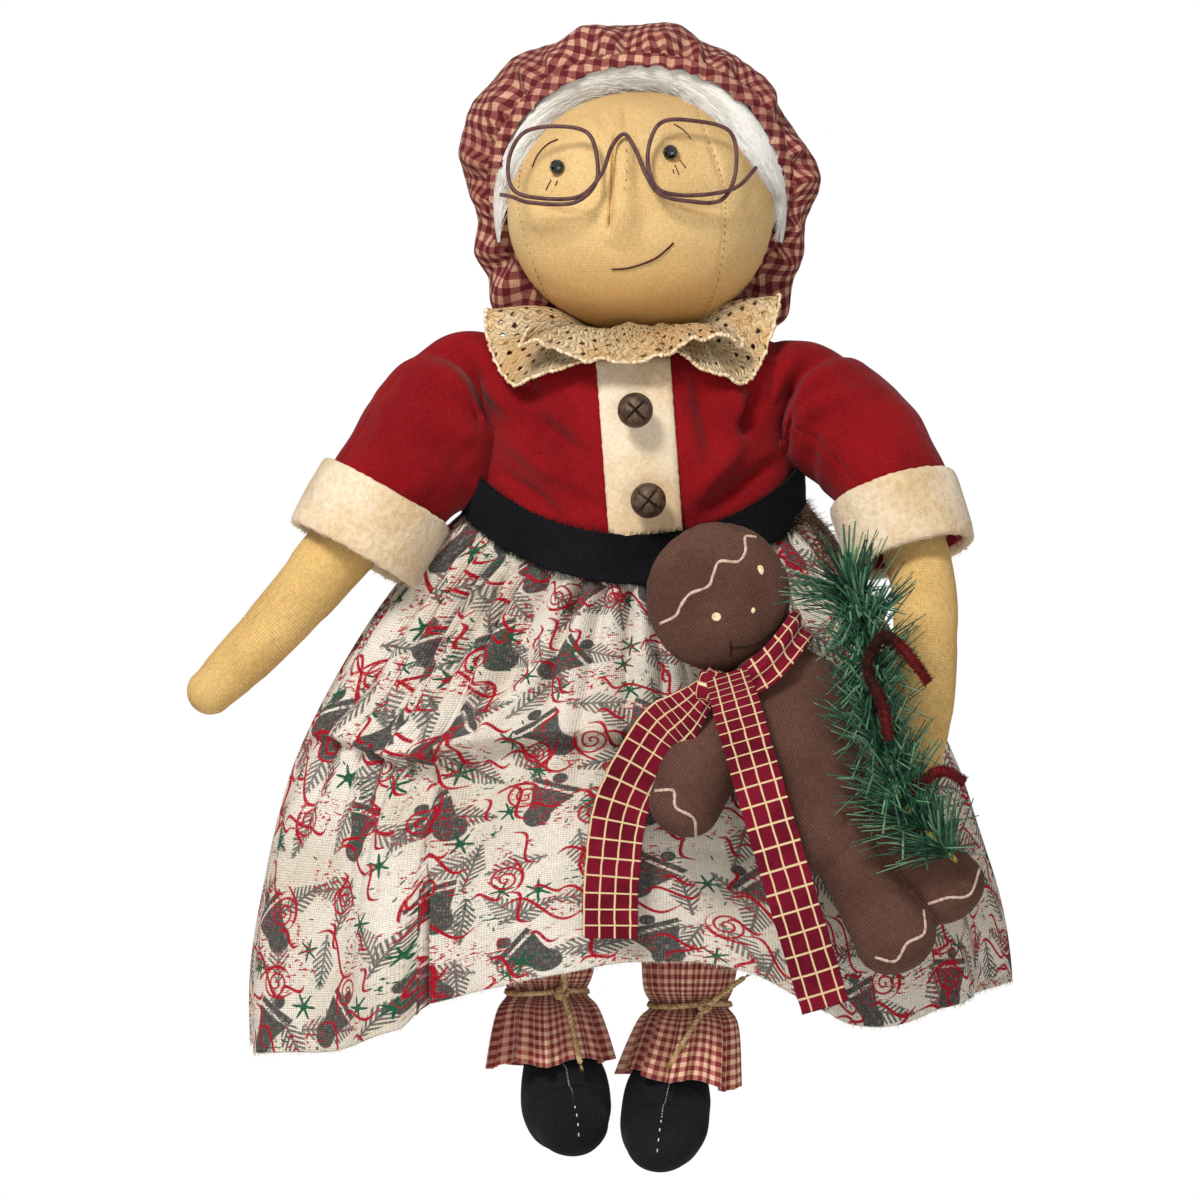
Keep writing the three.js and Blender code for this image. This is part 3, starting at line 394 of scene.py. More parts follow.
def plainFinish(name, light, dark, scale, rough, deep=0.0001, **fixed):
    f = Finish(name)
    vary = f.grain(f.place, scale, 4, 0.6)
    color = f.mix(f.between(vary, 0.35, 0.66), rgb(light), rgb(dark))
    return f.done(color, rough, vary, deep, **fixed)


finishes = {
    "cotton": clothFinish("teaDyedCotton", "e2ba76", "c39859", 0.85, stain=0.45, weaveShadeAndSlubStrength=0.34),
    # The face is painted darker towards the chin: partly a tea stain, partly painted shade under the chin.
    "faceCotton": clothFinish("teaDyedFaceChinShade", "e9c488", "d3a76b", 0.85, stain=0.4, weaveShadeAndSlubStrength=0.3,
                              teaAndChinShade=(0.06, 0.015, "ead2b0")),
    "redFelt": feltFinish("redFelt", "8b1317", "670b12", flecks="c8504a", stain=0.45),
    "creamFelt": feltFinish("creamFelt", "e6d5bb", "cdaf88", 700, stain=0.75),
    "fleece": feltFinish("fleece", "e6d3b6", "c7a679", 420, deep=0.0014, sheen=0.3, stain=0.6),
    "blackFelt": feltFinish("blackFelt", "18181b", "0a0a0c", 800, flecks="37373c", deep=0.0009, sheen=0.02),
    "bootFelt": feltFinish("bootFelt", "222225", "131316", 900, flecks="5a5a60", sheen=0.03),
    "linen": clothFinish("printedLinen", "", "", 1.0, printPattern, weaveShadeAndSlubStrength=0.26, deep=0.0005),
    "gingham": clothFinish("burgundyGingham", "", "", 0.6, ginghamPattern(4.4, "64252a", "90514a", "d2a486"),
                           weaveShadeAndSlubStrength=0.34),
    "bloomer": clothFinish("bloomerGingham", "", "", 0.6, ginghamPattern(3.6, "863637", "c27c6c", "fad4b0"),
                           weaveShadeAndSlubStrength=0.3),
    "lace": laceFinish(),
    "wool": hairFinish(),
    "twill": clothFinish("gingerbreadTwill", "64453a", "4a3026", 0.8, twill=True, weaveShadeAndSlubStrength=0.4),
    "scarf": clothFinish("scarfCotton", "", "", 0.5, windowpanePattern(5.9, 0.5, "7f152b", "efd2a0")),
    "glass": plainFinish("glassBead", "030304", "060607", 200, 0.04, 0.0, **{"Specular IOR Level": 0.55}),
    "wire": plainFinish("brownWire", "5e3d3a", "452b29", 300, 0.45, 0.00005, **{"Specular IOR Level": 0.2}),
    "bell": bellFinish(),
    "pine": plainFinish("pineNeedle", "2f6144", "123024", 140, 0.5, **{"Specular IOR Level": 0.35}),
    "palePine": plainFinish("paleNeedle", "6f9471", "3f6e4e", 140, 0.5, **{"Specular IOR Level": 0.35}),
    "twig": plainFinish("needleWire", "8f8a3f", "6b5a2c", 300, 0.6),
    "chenille": plainFinish("chenillePile", "6c1f22", "38221d", 55, 0.95, 0.0004),
    "jute": plainFinish("juteYarn", "cdac82", "9c7a50", 500, 0.95, 0.0003),
    "thread": plainFinish("brownThread", "4d2c26", "3a201c", 900, 0.8),
    "tanThread": plainFinish("tanThread", "a97c42", "8d6432", 900, 0.85),
    "toyThread": plainFinish("toyThread", "a07c64", "7c5a46", 900, 0.85),
    "whiteThread": plainFinish("whiteThread", "e6e2da", "b9b4aa", 900, 0.8),
    "darkThread": plainFinish("darkThread", "35221d", "241612", 900, 0.85),
    "icing": plainFinish("icingPaint", "cdb3a2", "ab8f7e", 600, 0.8, 0.0002),
    "dots": plainFinish("dotPaint", "ecd3ae", "cbb08a", 700, 0.75, 0.0001),
    "fringe": plainFinish("frayedTrim", "7c6350", "46342a", 500, 0.95),
    "redThread": plainFinish("redFray", "a3181d", "6f0d12", 700, 0.95),
    "linenThread": plainFinish("linenFray", "e9dfce", "cdbfa8", 700, 0.95),
    "cordThread": plainFinish("collarCord", "eedbb9", "c3a277", 500, 0.95, 0.0004),
}
print("finishes made:", len(finishes))


# Shape helpers
def blendTo(low, high, share):
    return low + (high - low) * share


def bump(x, middle, width):
    return math.exp(-(((x - middle) / width) ** 2))


def smooth(x, low, high):
    t = min(1, max(0, (x - low) / (high - low)))
    return t * t * (3 - 2 * t)


def wobble(*place):
    return noise.noise(Vector(place))


def onLine(points, share):
    # a point of the smooth line that runs through all the points
    spans = len(points) - 1
    where = min(max(share, 0), 1) * spans
    i = min(int(where), spans - 1)
    w = where - i
    b, c = points[i], points[i + 1]
    a = points[i - 1] if i else 2 * b - c
    d = points[i + 2] if i + 2 <= spans else 2 * c - b
    return 0.5 * (2 * b + (c - a) * w + (2 * a - 5 * b + 4 * c - d) * w * w
                  + (3 * b - a - 3 * c + d) * w ** 3)


def heading(line, share):
    # the way that a smooth line runs
    return (onLine(line, min(1, share + 0.01)) - onLine(line, max(0, share - 0.01))).normalized()


def readTable(rows, place):
    # a smooth value between the rows of a table of places and values
    for i, ((a, _), (b, _)) in enumerate(zip(rows, rows[1:])):
        if a <= place <= b:
            near = [rows[min(max(j, 0), len(rows) - 1)][1] for j in range(i - 1, i + 3)]
            return onLine(vectors([(value, 0, 0) for value in near]), (1 + (place - a) / (b - a)) / 3).x
    return rows[0][1]


def vectors(rows):
    return [Vector(row) for row in rows]


def upright(rows):
    # points of x and z, as seen from the front
    return [Vector((x, 0, z)) for x, z in rows]


def lengthOf(points):
    return sum((b - a).length for a, b in zip(points, points[1:]))


def outward(turn):
    return Vector((math.sin(turn), -math.cos(turn), 0))


def strewn(reach):
    return Vector([dice.uniform(-1, 1) for _ in range(3)]) * reach


def cloth(columns, rows, pointAt, flat=(1, 1), closed=False):
    # a grid of cloth that is moved point by point; its UV holds its flat size in millimetres
    bm = bmesh.new()
    bmesh.ops.create_grid(bm, x_segments=columns, y_segments=rows, size=0.5)
    bmesh.ops.translate(bm, verts=bm.verts, vec=(0.5, 0.5, 0))
    layer = bm.loops.layers.uv.new("flatCloth")
    for face in bm.faces:
        for loop in face.loops:
            u, v = loop.vert.co.xy
            loop[layer].uv = flat(u, v) if callable(flat) else (u * flat[0], v * flat[1])
    for vert in bm.verts:
        vert.co = pointAt(vert.co.x, vert.co.y)
    if closed:
        bmesh.ops.remove_doubles(bm, verts=bm.verts, dist=0.002)
    return bm


def stuffedPoint(stations, ends=(True, True), across=None, relief=None):
    # an oval section along a smooth line, with rounded or open ends
    centres = vectors([s[:3] for s in stations])
    sizes = vectors([(s[3], s[4], 0) for s in stations])
    dome = 0.12
    first, last = dome * ends[0], dome * ends[1]

    def pointAt(u, v):
        t = min(1, max(0, (v - first) / (1 - first - last)))
        forward = heading(centres, t)
        wideWay = Vector(across) if across else forward.cross(Vector((0, 1, 0)))
        wideWay = (wideWay - forward * wideWay.dot(forward)).normalized()
        deepWay = wideWay.cross(forward)
        size = onLine(sizes, t)
        reach, share = 0, 1
        caps = ((ends[0] and v < first, v / dome, -1), (ends[1] and v > 1 - last, (1 - v) / dome, 1))
        for inside, part, way in caps:
            if inside:
                reach = way * min(size.x, size.y) * math.cos(part * math.pi / 2)
                share = math.sin(part * math.pi / 2)
        angle = u * fullTurn
        extra = relief(angle, v) * share if relief else 0
        return (onLine(centres, t) + forward * reach + wideWay * (size.x + extra) * share * math.cos(angle)
                + deepWay * (size.y + extra) * share * math.sin(angle))
    return pointAt


def stuffed(stations, columns=40, rows=60, ends=(True, True), across=None):
    long = lengthOf(vectors([s[:3] for s in stations]))
    flat = (fullTurn * stations[1][3], long + 2 * stations[0][3])
    return cloth(columns, rows, stuffedPoint(stations, ends, across), flat, closed=True)


def tube(bm, points, radius, sides, steps, shape=None):
    # a round thread or wire along a smooth line
    points = vectors(points)
    line = [onLine(points, i / steps) for i in range(steps + 1)]
    side = Vector((0, 1, 0))
    ring = None
    for i, spot in enumerate(line):
        forward = (line[min(i + 1, steps)] - line[max(i - 1, 0)]).normalized()
        side = side - forward * side.dot(forward)
        side = (side if side.length > 1e-4 else forward.orthogonal()).normalized()
        size = shape(i / steps) * radius if shape else radius
        frameOf = Matrix((forward.cross(side), side, forward)).transposed().to_4x4()
        place = Matrix.Translation(spot) @ frameOf @ Matrix.Diagonal((size, size, 1, 1))
        if ring is None:
            start = bmesh.ops.create_circle(bm, segments=sides, radius=1, matrix=place, cap_ends=True)
            verts = start["verts"]
            ring = list(dict.fromkeys(e for vert in verts for e in vert.link_edges))
            before = place
            continue
        made = bmesh.ops.extrude_edge_only(bm, edges=ring)["geom"]
        verts = [g for g in made if isinstance(g, bmesh.types.BMVert)]
        ring = [e for e in made if isinstance(e, bmesh.types.BMEdge)
                and e.verts[0] in verts and e.verts[1] in verts]
        bmesh.ops.transform(bm, matrix=place @ before.inverted(), verts=verts)
        before = place
    bmesh.ops.holes_fill(bm, edges=ring, sides=0)


def spike(bm, root, way, long, radius, sides=3, tip=0.15):
    # a single fibre, needle or thread end
    turn = Vector(way).normalized().to_track_quat("Z", "Y").to_matrix().to_4x4()
    place = Matrix.Translation(Vector(root) + Vector(way).normalized() * long / 2) @ turn
    return bmesh.ops.create_cone(bm, segments=sides, radius1=radius, radius2=radius * tip, depth=long,
                                 matrix=place)["verts"]


def softened(bm, verts, times):
    for _ in range(times):
        bmesh.ops.smooth_vert(bm, verts=verts, factor=0.5, use_axis_x=True, use_axis_y=True, use_axis_z=True)


def gathered(bm, batch):
    # moves a small mesh into a large one, since many small steps on a large mesh are slow
    mesh = bpy.data.meshes.new("batch")
    batch.to_mesh(mesh)
    batch.clear()
    bm.from_mesh(mesh)
    bpy.data.meshes.remove(mesh)


def fur(bm, count, hair, longs, radius):
    # many short fibres: hair draws the root and the way of each
    for _ in range(count):
        root, way = hair()
        spike(bm, root, way, dice.uniform(*longs), radius)


def piece(name, bm, finish, body, stands=(), away=None, thick=0, offset=-1):
    # A mesh in millimetres becomes a finished piece that rides on a body and stands for CAD pieces.
    # Its faces look away from one point inside it, if that is given.
    if away is None:
        bmesh.ops.recalc_face_normals(bm, faces=bm.faces)
    else:
        bm.normal_update()
        centre = Vector(away)
        facing = sum((f.calc_center_median() - centre).dot(f.normal) * f.calc_area() for f in bm.faces)
        if facing < 0:
            bmesh.ops.reverse_faces(bm, faces=bm.faces)
    bmesh.ops.scale(bm, vec=(0.001, 0.001, 0.001), verts=bm.verts)
    mesh = meshOf(name, bm)
    mesh.shade_smooth()
    mesh.materials.append(finishes[finish])
    made = link(bpy.data.objects.new(name, mesh))
    if thick:
        solid = made.modifiers.new("thickness", "SOLIDIFY")
        solid.thickness = thick / 1000
        solid.offset = offset
    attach(made, body)
    if stands:
        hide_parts(*stands)
    return made


def refinish(name, finish):
    # gives its material to a CAD piece that stays in view
    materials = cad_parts[name].data.materials
    materials.clear()
    materials.append(finishes[finish])


# Head: a cotton ball sewn from three panels, with a pinched nose
head = {
    "middle": (2, -40, 65.8), "half": (51.5, 44, 48), "columns": 320, "rows": 200, "flat": (320, 150),
    "noseTop": (-5.2, 93.5), "noseFoot": (-6.2, 56), "noseHeight": 4.6,
    "seams": [
        [(22.3, 109), (25.8, 98.2), (33.1, 77.8), (34.7, 60.4), (31.6, 37), (24.3, 22)],
        [(-33, 104), (-41, 93), (-44.7, 77.8), (-43.9, 60.4), (-36.2, 37), (-28, 24)],
    ],
    "folds": [  # x, z at both ends, width, depth
        (-15, 104, -10.5, 95, 1.6, 0.9), (-4, 106, -3.4, 96, 1.5, 0.8), (-46, 70, -30, 64.5, 1.6, 0.8),
        (-32, 64, -15, 62, 1.8, 0.8), (-20, 90, -12, 86, 1.4, 0.6), (12, 93.5, 29, 90, 1.5, 0.9),
        (29, 90, 33, 80, 1.4, 0.7), (20, 66, 34, 64.5, 1.8, 0.9), (3, 88, 9, 92, 1.3, 0.5),
        (-40, 88, -33, 93, 1.6, 0.5), (-12, 52, -7, 48, 2.2, 0.5), (1, 62, 5, 54, 2.4, 0.5),
        (-41, 41, -30, 34, 2.6, 0.5), (35, 40, 27, 33, 2.4, 0.5), (-10, 100, 3, 101, 2, 0.4)],
    "smile": [(-9, 42.1), (-2.4, 42.6), (6.6, 45.6), (11.6, 49.2), (14.7, 52.2)],
    "brows": [[(-39.6, 82), (-37.6, 86.6), (-34, 90.6), (-29.8, 92.6)],
              [(14.8, 98.2), (18.5, 95.9), (21.4, 92.4)]],
    "lashes": [[(-34.3, 72.8), (-32.3, 76.6)], [(-30.6, 74.4), (-29.9, 76.3)], [(15.2, 82.2), (16.8, 78.3)],
               [(17.1, 84), (19.4, 81)], [(14.4, 80.4), (14.9, 78.8)]],
    "eyes": [(-30, 81.6), (13.5, 87)],
}


def foldDepth(folds, x, z):
    total = 0
    for x1, z1, x2, z2, wide, deep in folds:
        dx, dz = x2 - x1, z2 - z1
        t = min(1, max(0, ((x - x1) * dx + (z - z1) * dz) / (dx * dx + dz * dz)))
        away = math.hypot(x - x1 - dx * t, z - z1 - dz * t)
        if away < 3 * wide:
            total += deep * math.exp(-(away / wide) ** 2) * (0.4 + 0.6 * math.sin(math.pi * t))
    return total


def seamPlace(seam, z):
    for (x1, z1), (x2, z2) in zip(seam, seam[1:]):
        if z1 >= z >= z2:
            return blendTo(x1, x2, (z1 - z) / (z1 - z2))
    return None


def headRelief(x, z):
    # how far the cloth stands in front of the plain ball
    (topX, topZ), (footX, footZ) = head["noseTop"], head["noseFoot"]
    t = (z - footZ) / (topZ - footZ)
    middle = blendTo(footX, topX, min(1, max(0, t)))
    half = blendTo(3.8, 2.6, min(1, max(0, t)))
    long = smooth(t, -0.22, 0.25) * (1 - smooth(t, 0.8, 1.04))
    side = (x - middle) / half if x < middle else (x - middle) / (half * 1.9)
    ridge = head["noseHeight"] * (1 - 0.3 * t) * math.exp(-abs(side) ** 2.6) * long
    left = 4.6 * bump(x, middle - half - 0.1, 0.6) * smooth(t, -0.04, 0.12) * (1 - smooth(t, 0.85, 1.1))
    right = 1.2 * bump(x, middle + half + 3.4, 2.6) * smooth(t, 0.3, 0.6) * (1 - smooth(t, 0.9, 1.1))
    relief = ridge - left - right - 1.8 * foldDepth(head["folds"], x, z)
    for seam in head["seams"]:
        place = seamPlace(seam, z)
        if place is not None:
            relief -= 0.55 * bump(x, place, 0.8) - 0.3 * bump(x, place, 4)
    for ex, ez in head["eyes"]:
        relief -= 1.3 * math.exp(-((x - ex) ** 2 + (z - ez) ** 2) / 22)
    return relief


def headPoint(u, v):
    s = 2 * u - 1
    turn = math.pi * s * (0.62 + 0.38 * s * s)
    up = math.pi * (v - 0.5)
    way = Vector((math.sin(turn) * math.cos(up), -math.cos(turn) * math.cos(up), math.sin(up)))
    x, y, z = [m + h * w for m, h, w in zip(head["middle"], head["half"], way)]
    front = smooth(-way.y, 0.05, 0.35)
    lump = 0.5 * wobble(x / 17, y / 17, z / 17)
    return Vector((x, y, z)) + way * (lump - front * 0.2) + Vector((0, -headRelief(x, z) * front, 0))


def faceY(x, z, lift=0.0):
    (mx, my, mz), (hx, hy, hz) = head["middle"], head["half"]
    depth = 1 - ((x - mx) / hx) ** 2 - ((z - mz) / hz) ** 2
    return my - hy * math.sqrt(max(0, depth)) - headRelief(x, z) - lift


made = piece("cotton_head", cloth(head["columns"], head["rows"], headPoint, head["flat"], closed=True),
             "faceCotton", "head", ["head"], away=head["middle"])

faceThreads = bmesh.new()
tube(faceThreads, [(x, faceY(x, z, 0.1), z) for x, z in head["smile"]], 0.42, 6, 60)
for row in head["brows"] + head["lashes"]:
    tube(faceThreads, [(x, faceY(x, z, 0.05), z) for x, z in row], 0.27, 5, 14)
piece("face_stitches", faceThreads, "thread", "head")


def dashes(bm, points, surface, long=1.3, gap=1.1, radius=0.2, lift=0.05):
    # short stitches on a surface, along a smooth line of x and z
    line = upright(points)
    count = int(lengthOf(line) / (long + gap))
    for i in range(count):
        a, b = (onLine(line, (i + part) / count) for part in (0, long / (long + gap)))
        ends = [Vector((p.x, surface(p.x, p.z) - lift, p.z)) for p in (a, b)]
        spike(bm, ends[0], ends[1] - ends[0], (ends[1] - ends[0]).length, radius, 4, 0.9)


headSeams = bmesh.new()
for seam in head["seams"]:
    dashes(headSeams, seam, faceY, 0.9, 1.3, 0.2, -0.02)
dashes(headSeams, [(-3.6, 92), (-3.2, 80), (-4.6, 70)], faceY, 0.8, 2.6, 0.18)
piece("head_seam_stitches", headSeams, "tanThread", "head")

for side in ("left", "right"):
    refinish(f"eye_bead_{side}", "glass")
print("head sewn")


# Hair: a band of combed wool, with loose wisps along both edges
hair = {"middle": (2, 65.8), "reach": (52.9, 52.6), "half": 2.5, "start": -0.22, "wisps": 2000, "batch": 60}
mouth = {"lowY": -14, "lowZ": 25, "slope": -43 / 101}


def mouthY(z):
    return mouth["lowY"] + (z - mouth["lowZ"]) * mouth["slope"]


def hairPoint(u, v, spread=1.0):
    turn = blendTo(math.pi - hair["start"], hair["start"], u)
    end = smooth(u, -0.02, 0.2) * (1 - smooth(u, 0.8, 1.02))
    out = Vector((math.cos(turn), 0, math.sin(turn)))
    thick = (3.5 + 1.0 * max(0, out.z) + 1.8 * bump(out.x, 0.75, 0.35)) * (0.1 + 0.9 * end) * spread
    around = v * fullTurn
    thick *= 1 + 0.1 * wobble(u * 9, math.cos(around) * 2, math.sin(around) * 2)
    (middleX, middleZ), (wide, high) = hair["middle"], hair["reach"]
    middle = Vector((middleX + wide * out.x, 0, middleZ + high * out.z)) - out * (thick - 4.2) * 0.8
    inner = middle - out * thick
    share = 0.5 + 0.5 * math.cos(around)
    y = blendTo(min(faceY(inner.x, inner.z, 0.2), mouthY(inner.z) - 1), mouthY(middle.z) - 4.4, share ** 0.8)
    strands = 0.2 * math.cos(around * 26 + 3 * wobble(u * 7, 0, 1))
    return (middle + Vector((0, y, 0)) + out * (thick + strands) * math.cos(around)
            + Vector((0, 1, 0)) * (hair["half"] + strands) * (0.4 + 0.6 * end) * math.sin(around))


made = piece("wool_hair", cloth(260, 70, hairPoint, (190, 40), closed=True), "wool", "head",
             ["hair_band"])
wisps, batch = bmesh.new(), bmesh.new()
for i in range(hair["wisps"]):
    u = dice.uniform(0.0, 0.95)
    around = 0.5 + dice.gauss(0.08, 0.1) if dice.random() < 0.7 else dice.uniform(0.5, 1.02)
    spots = []
    pull = dice.uniform(0, 1.4) ** 2
    for step in range(4):
        spot = hairPoint(min(1, u + step * 0.02), around, 1.0 + 0.03 * step * dice.random())
        inward = Vector((2 - spot.x, 0, 66 - spot.z)).normalized()
        drift = Vector((dice.uniform(-0.5, 0.5), dice.uniform(-0.5, 0.1), dice.uniform(-0.5, 0.5)))
        spots.append(spot + (drift + inward * pull) * step * 0.5)
    tube(batch, spots, 0.08, 3, 5)
    if (i + 1) % hair["batch"] == 0:
        gathered(wisps, batch)
gathered(wisps, batch)
piece("hair_wisps", wisps, "wool", "head")
print("hair combed")


# Cap: a circle of gingham, gathered on elastic, with a small frill in front
cap = {
    "centre": (2, 79), "elastic": (57.5, 48.5, 76), "sideY": -21, "backY": 21, "crownReach": 62,
    "widestAt": 0.35, "pleats": 58, "smoothing": (-0.09, -0.045, 0, 0.045, 0.09), "margin": 0.6,
    "outline": [  # x, z of the lobed edge, from the lower right round over the top
        (53, 21.6), (59.5, 30.5), (57, 41.6), (64.5, 49.7), (63.5, 58.7), (67.6, 66.8), (69.1, 79.8),
        (65.1, 93.9), (57, 104), (49.9, 113.1), (36.8, 126.2), (27.7, 131.3), (11.7, 135.7), (1.5, 138.2),
        (-18.5, 135.7), (-26.6, 131.2), (-34.7, 129.2), (-48.7, 124.2), (-55.8, 113.1), (-63.8, 98),
        (-68.3, 83.9), (-59.8, 65.8), (-61.3, 52.7), (-54.7, 33.5), (-46, 24), (-20, 22), (20, 21)],
}
capX, capZ = cap["centre"]
capEdge = sorted((math.atan2(z - capZ, x - capX), math.hypot(x - capX, z - capZ)) for x, z in cap["outline"])
capEdge = [(capEdge[-1][0] - fullTurn, capEdge[-1][1]), *capEdge, (capEdge[0][0] + fullTurn, capEdge[0][1])]


def capReach(turn):
    return readTable(capEdge, (turn + math.pi) % fullTurn - math.pi)


capSteps = 720
capTable = [sum(capReach(fullTurn * i / capSteps + away) for away in cap["smoothing"]) / len(cap["smoothing"])
            + cap["margin"] for i in range(capSteps)]


def softReach(turn):
    # the cap's reach from its centre, with the corners of its outline rounded off
    place = turn / fullTurn % 1 * capSteps
    i = int(place)
    return blendTo(capTable[i % capSteps], capTable[(i + 1) % capSteps], place - i)


def pleatWave(turn, count, seed=0.0):
    return math.cos(count * turn + 5 * wobble(math.cos(turn) * 2, math.sin(turn) * 2, seed))


def elasticPoint(turn):
    wide, high, z = cap["elastic"]
    z += high * math.sin(turn)
    return Vector((capX + wide * math.cos(turn), mouthY(z) - 1.5, z))


def capPoint(u, v):
    turn = fullTurn * u
    out = Vector((math.cos(turn), 0, math.sin(turn)))
    centre = Vector((capX, 0, capZ))
    edge = elasticPoint(turn)
    reach, widest = softReach(turn), cap["widestAt"]
    inFront = v < widest
    wide = centre + out * (reach if inFront else blendTo(reach, cap["crownReach"], smooth(v, 0.4, 0.8)))
    wideY = blendTo(mouthY(wide.z), cap["sideY"], 0.55)
    if inFront:
        t = v / widest * math.pi / 2
        spot = edge + (wide - edge) * math.sin(t)
        spot.y = edge.y - 2.4 * math.sin(2 * t) + (wideY - edge.y) * (1 - math.cos(t))
    else:
        t = (v - widest) / (1 - widest) * math.pi / 2
        spot = centre + (wide - centre) * max(0, math.cos(t)) ** 0.85
        spot.y = wideY + (cap["backY"] - wideY) * math.sin(t)
    lift = (1.3 * math.exp(-v / 0.07) + 0.25 * math.exp(-v / 0.3)) * pleatWave(turn, cap["pleats"])
    lift += 2.8 * pleatWave(turn, 21, 3) * bump(v, 0.1, 0.09)
    lift += 2.6 * pleatWave(turn, 9, 5) * bump(v, 0.25, 0.13)
    lift += 2.6 * wobble(*(spot / 18)) * (1 - smooth(v, 0.85, 1)) * smooth(v, 0.02, 0.2)
    way = (out * (1 - smooth(v, 0.5, 1)) + Vector((0, blendTo(-0.5, 1, smooth(v, 0.1, 0.8)), 0))).normalized()
    return spot + way * lift


def capFlat(u, v):
    # the check runs straight across the puffed front and bunches up at the elastic
    widest = cap["widestAt"]
    far = 44 + 66 * v if v < widest else 67 * (1 - (v - widest) / (1 - widest))
    turn = fullTurn * u
    bunch = 0.35 * math.exp(-max(v, 0) / 0.12) * math.sin(cap["pleats"] * turn) / cap["pleats"]
    turn += bunch + 0.05 * wobble(math.cos(turn) * 4, math.sin(turn) * 4, v * 5)
    far += 1.6 * wobble(math.cos(turn) * 6, math.sin(turn) * 6, v * 4 + 9)
    return (far * math.cos(turn + 0.05), far * math.sin(turn + 0.05))


piece("gingham_cap", cloth(380, 110, capPoint, capFlat, closed=True), "gingham", "head",
      ["cap_crown"], away=(2, -20, 79), thick=0.5)


def frillPoint(u, v):
    turn = fullTurn * u
    edge = elasticPoint(turn)
    out = Vector((math.cos(turn), 0, math.sin(turn)))
    wave = 1.7 * wobble(math.cos(turn) * 11, math.sin(turn) * 11, 7) + 0.25 * pleatWave(turn, 72, 7)
    side = 1.7 * wobble(math.cos(turn) * 9, math.sin(turn) * 9, 19) + 0.3 * pleatWave(turn, 47, 9)
    roll = math.sin(v * math.pi)
    return (edge + out * (2.8 - 6.2 * v + 0.9 * wave * v + 0.9 * roll)
            + Vector((0, 1.6 - 5.6 * v ** 0.8 + 1.1 * side * v, 0)))


def frillFlat(u, v):
    far = 44 - 6 * v
    return (far * math.cos(fullTurn * u + 0.1), far * math.sin(fullTurn * u + 0.1))


piece("cap_ruffle", cloth(760, 10, frillPoint, frillFlat, closed=True), "gingham", "head",
      ["cap_frill"], away=(2, 20, 79), thick=0.5)


# Spectacles: one soft wire, bent round both lenses
spectacles = {"radius": 0.82, "bridge": (-4.2, 94), "standOff": 8.1, "noseY": -75.17, "turns": [
    # x, z, how far in front
    (-51.5, 71, -5), (-47.5, 70, 0), (-40, 67.5, 2), (-24, 67.2, 2), (-15.6, 74, 0), (-14.6, 84, 0),
    (-18.5, 94.5, 0), (-31, 97, 0), (-43, 94.5, 0), (-48.6, 84, 0), (-47, 73, 2.2), (-38, 69.5, 0),
    (-22, 69.6, 0), (-13.2, 78, 2.2), (-9, 89, -1.4), (-4.2, 94, -4.8), (0, 88, -0.6), (4.2, 78, 2.2),
    (9.5, 70.6, 2), (20, 68, 2), (33, 68.6, 0), (38.6, 80, 0), (36.5, 95, 0), (22, 99.2, 0),
    (9.5, 98, 0), (4.8, 86, 0), (7.5, 74, 0), (16, 70.4, 0), (30, 71, 2.2), (39.5, 74, 2.2),
    (46.5, 81.5, -3)]}


def wirePlace(x, z, front):
    bridgeX, bridgeZ = spectacles["bridge"]
    return (x, spectacles["noseY"] - spectacles["standOff"] - (bridgeZ - z) * 0.28
            + (x - bridgeX) ** 2 * 0.006 - front, z)


wire = bmesh.new()
tube(wire, [wirePlace(*turn) for turn in spectacles["turns"]], spectacles["radius"], 10, 320)
piece("bent_spectacles", wire, "wire", "head", ["spectacles"])
print("cap and spectacles on")


# Body, jacket and placket
body = {
    "stations": [(0, -40, 3, 26.4, 18.4), (0, -40, -9, 44, 23), (0, -40, -25, 50, 28), (0, -40, -58, 46, 27),
                 (0, -40, -120, 46, 28), (0, -40, -138, 36.8, 22.4)],
    "neck": [(2, -40, -2, 14, 14), (2, -40, 8, 13, 13), (2, -40, 19, 13, 13)],
}
jacket = {
    "rows": [(0, 26, 21), (0.07, 59, 27), (0.24, 62, 33), (0.6, 60, 34), (1, 61.5, 33.5)],
    "neckZ": 13, "shoulderRise": 5.5, "foldGain": 2.1,
    "folds": [(-58, 2, -42, -16, 4.5, -2.6), (-52, 12, -40, -6, 3.5, 2.4), (-44, -12, -20, -30, 4, 2.2),
              (-50, -20, -20, -44, 5, -2.2), (-52, -36, -30, -52, 3.5, 2.0), (-30, -40, -10, -52, 4, 1.4),
              (24, 4, 32, -28, 4, 2.6), (37, -2, 40, -18, 4, -2.2), (46, -8, 42, -19, 3.2, 4.6),
              (40, -24, 20, -48, 4.5, -2.2), (54, -32, 30, -50, 3.5, 2.0), (18, -10, 24, -44, 4, -1.2)],
}


def hemZ(turn):
    front = math.cos(turn)
    return -40 - (29 if front > 0 else 12) * abs(front) ** 1.5


def oval(turn, wide, deep, z):
    return Vector((wide * math.sin(turn), bodyY - deep * math.cos(turn), z))


jacketRows = vectors(jacket["rows"])


def jacketPoint(u, v):
    turn = fullTurn * (u - 0.5)
    share, wide, deep = onLine(jacketRows, v)
    z = blendTo(jacket["neckZ"], hemZ(turn), share)
    z += jacket["shoulderRise"] * abs(math.sin(turn)) ** 4 * (1 - smooth(v, 0.12, 0.4))
    spot = oval(turn, wide, deep, z)
    front = smooth(math.cos(turn), 0.1, 0.5)
    relief = -jacket["foldGain"] * foldDepth(jacket["folds"], spot.x, spot.z) * front
    relief += 1.2 * wobble(spot.x / 15, spot.y / 15, spot.z / 12) * smooth(v, 0.1, 0.4)
    return spot + outward(turn) * relief


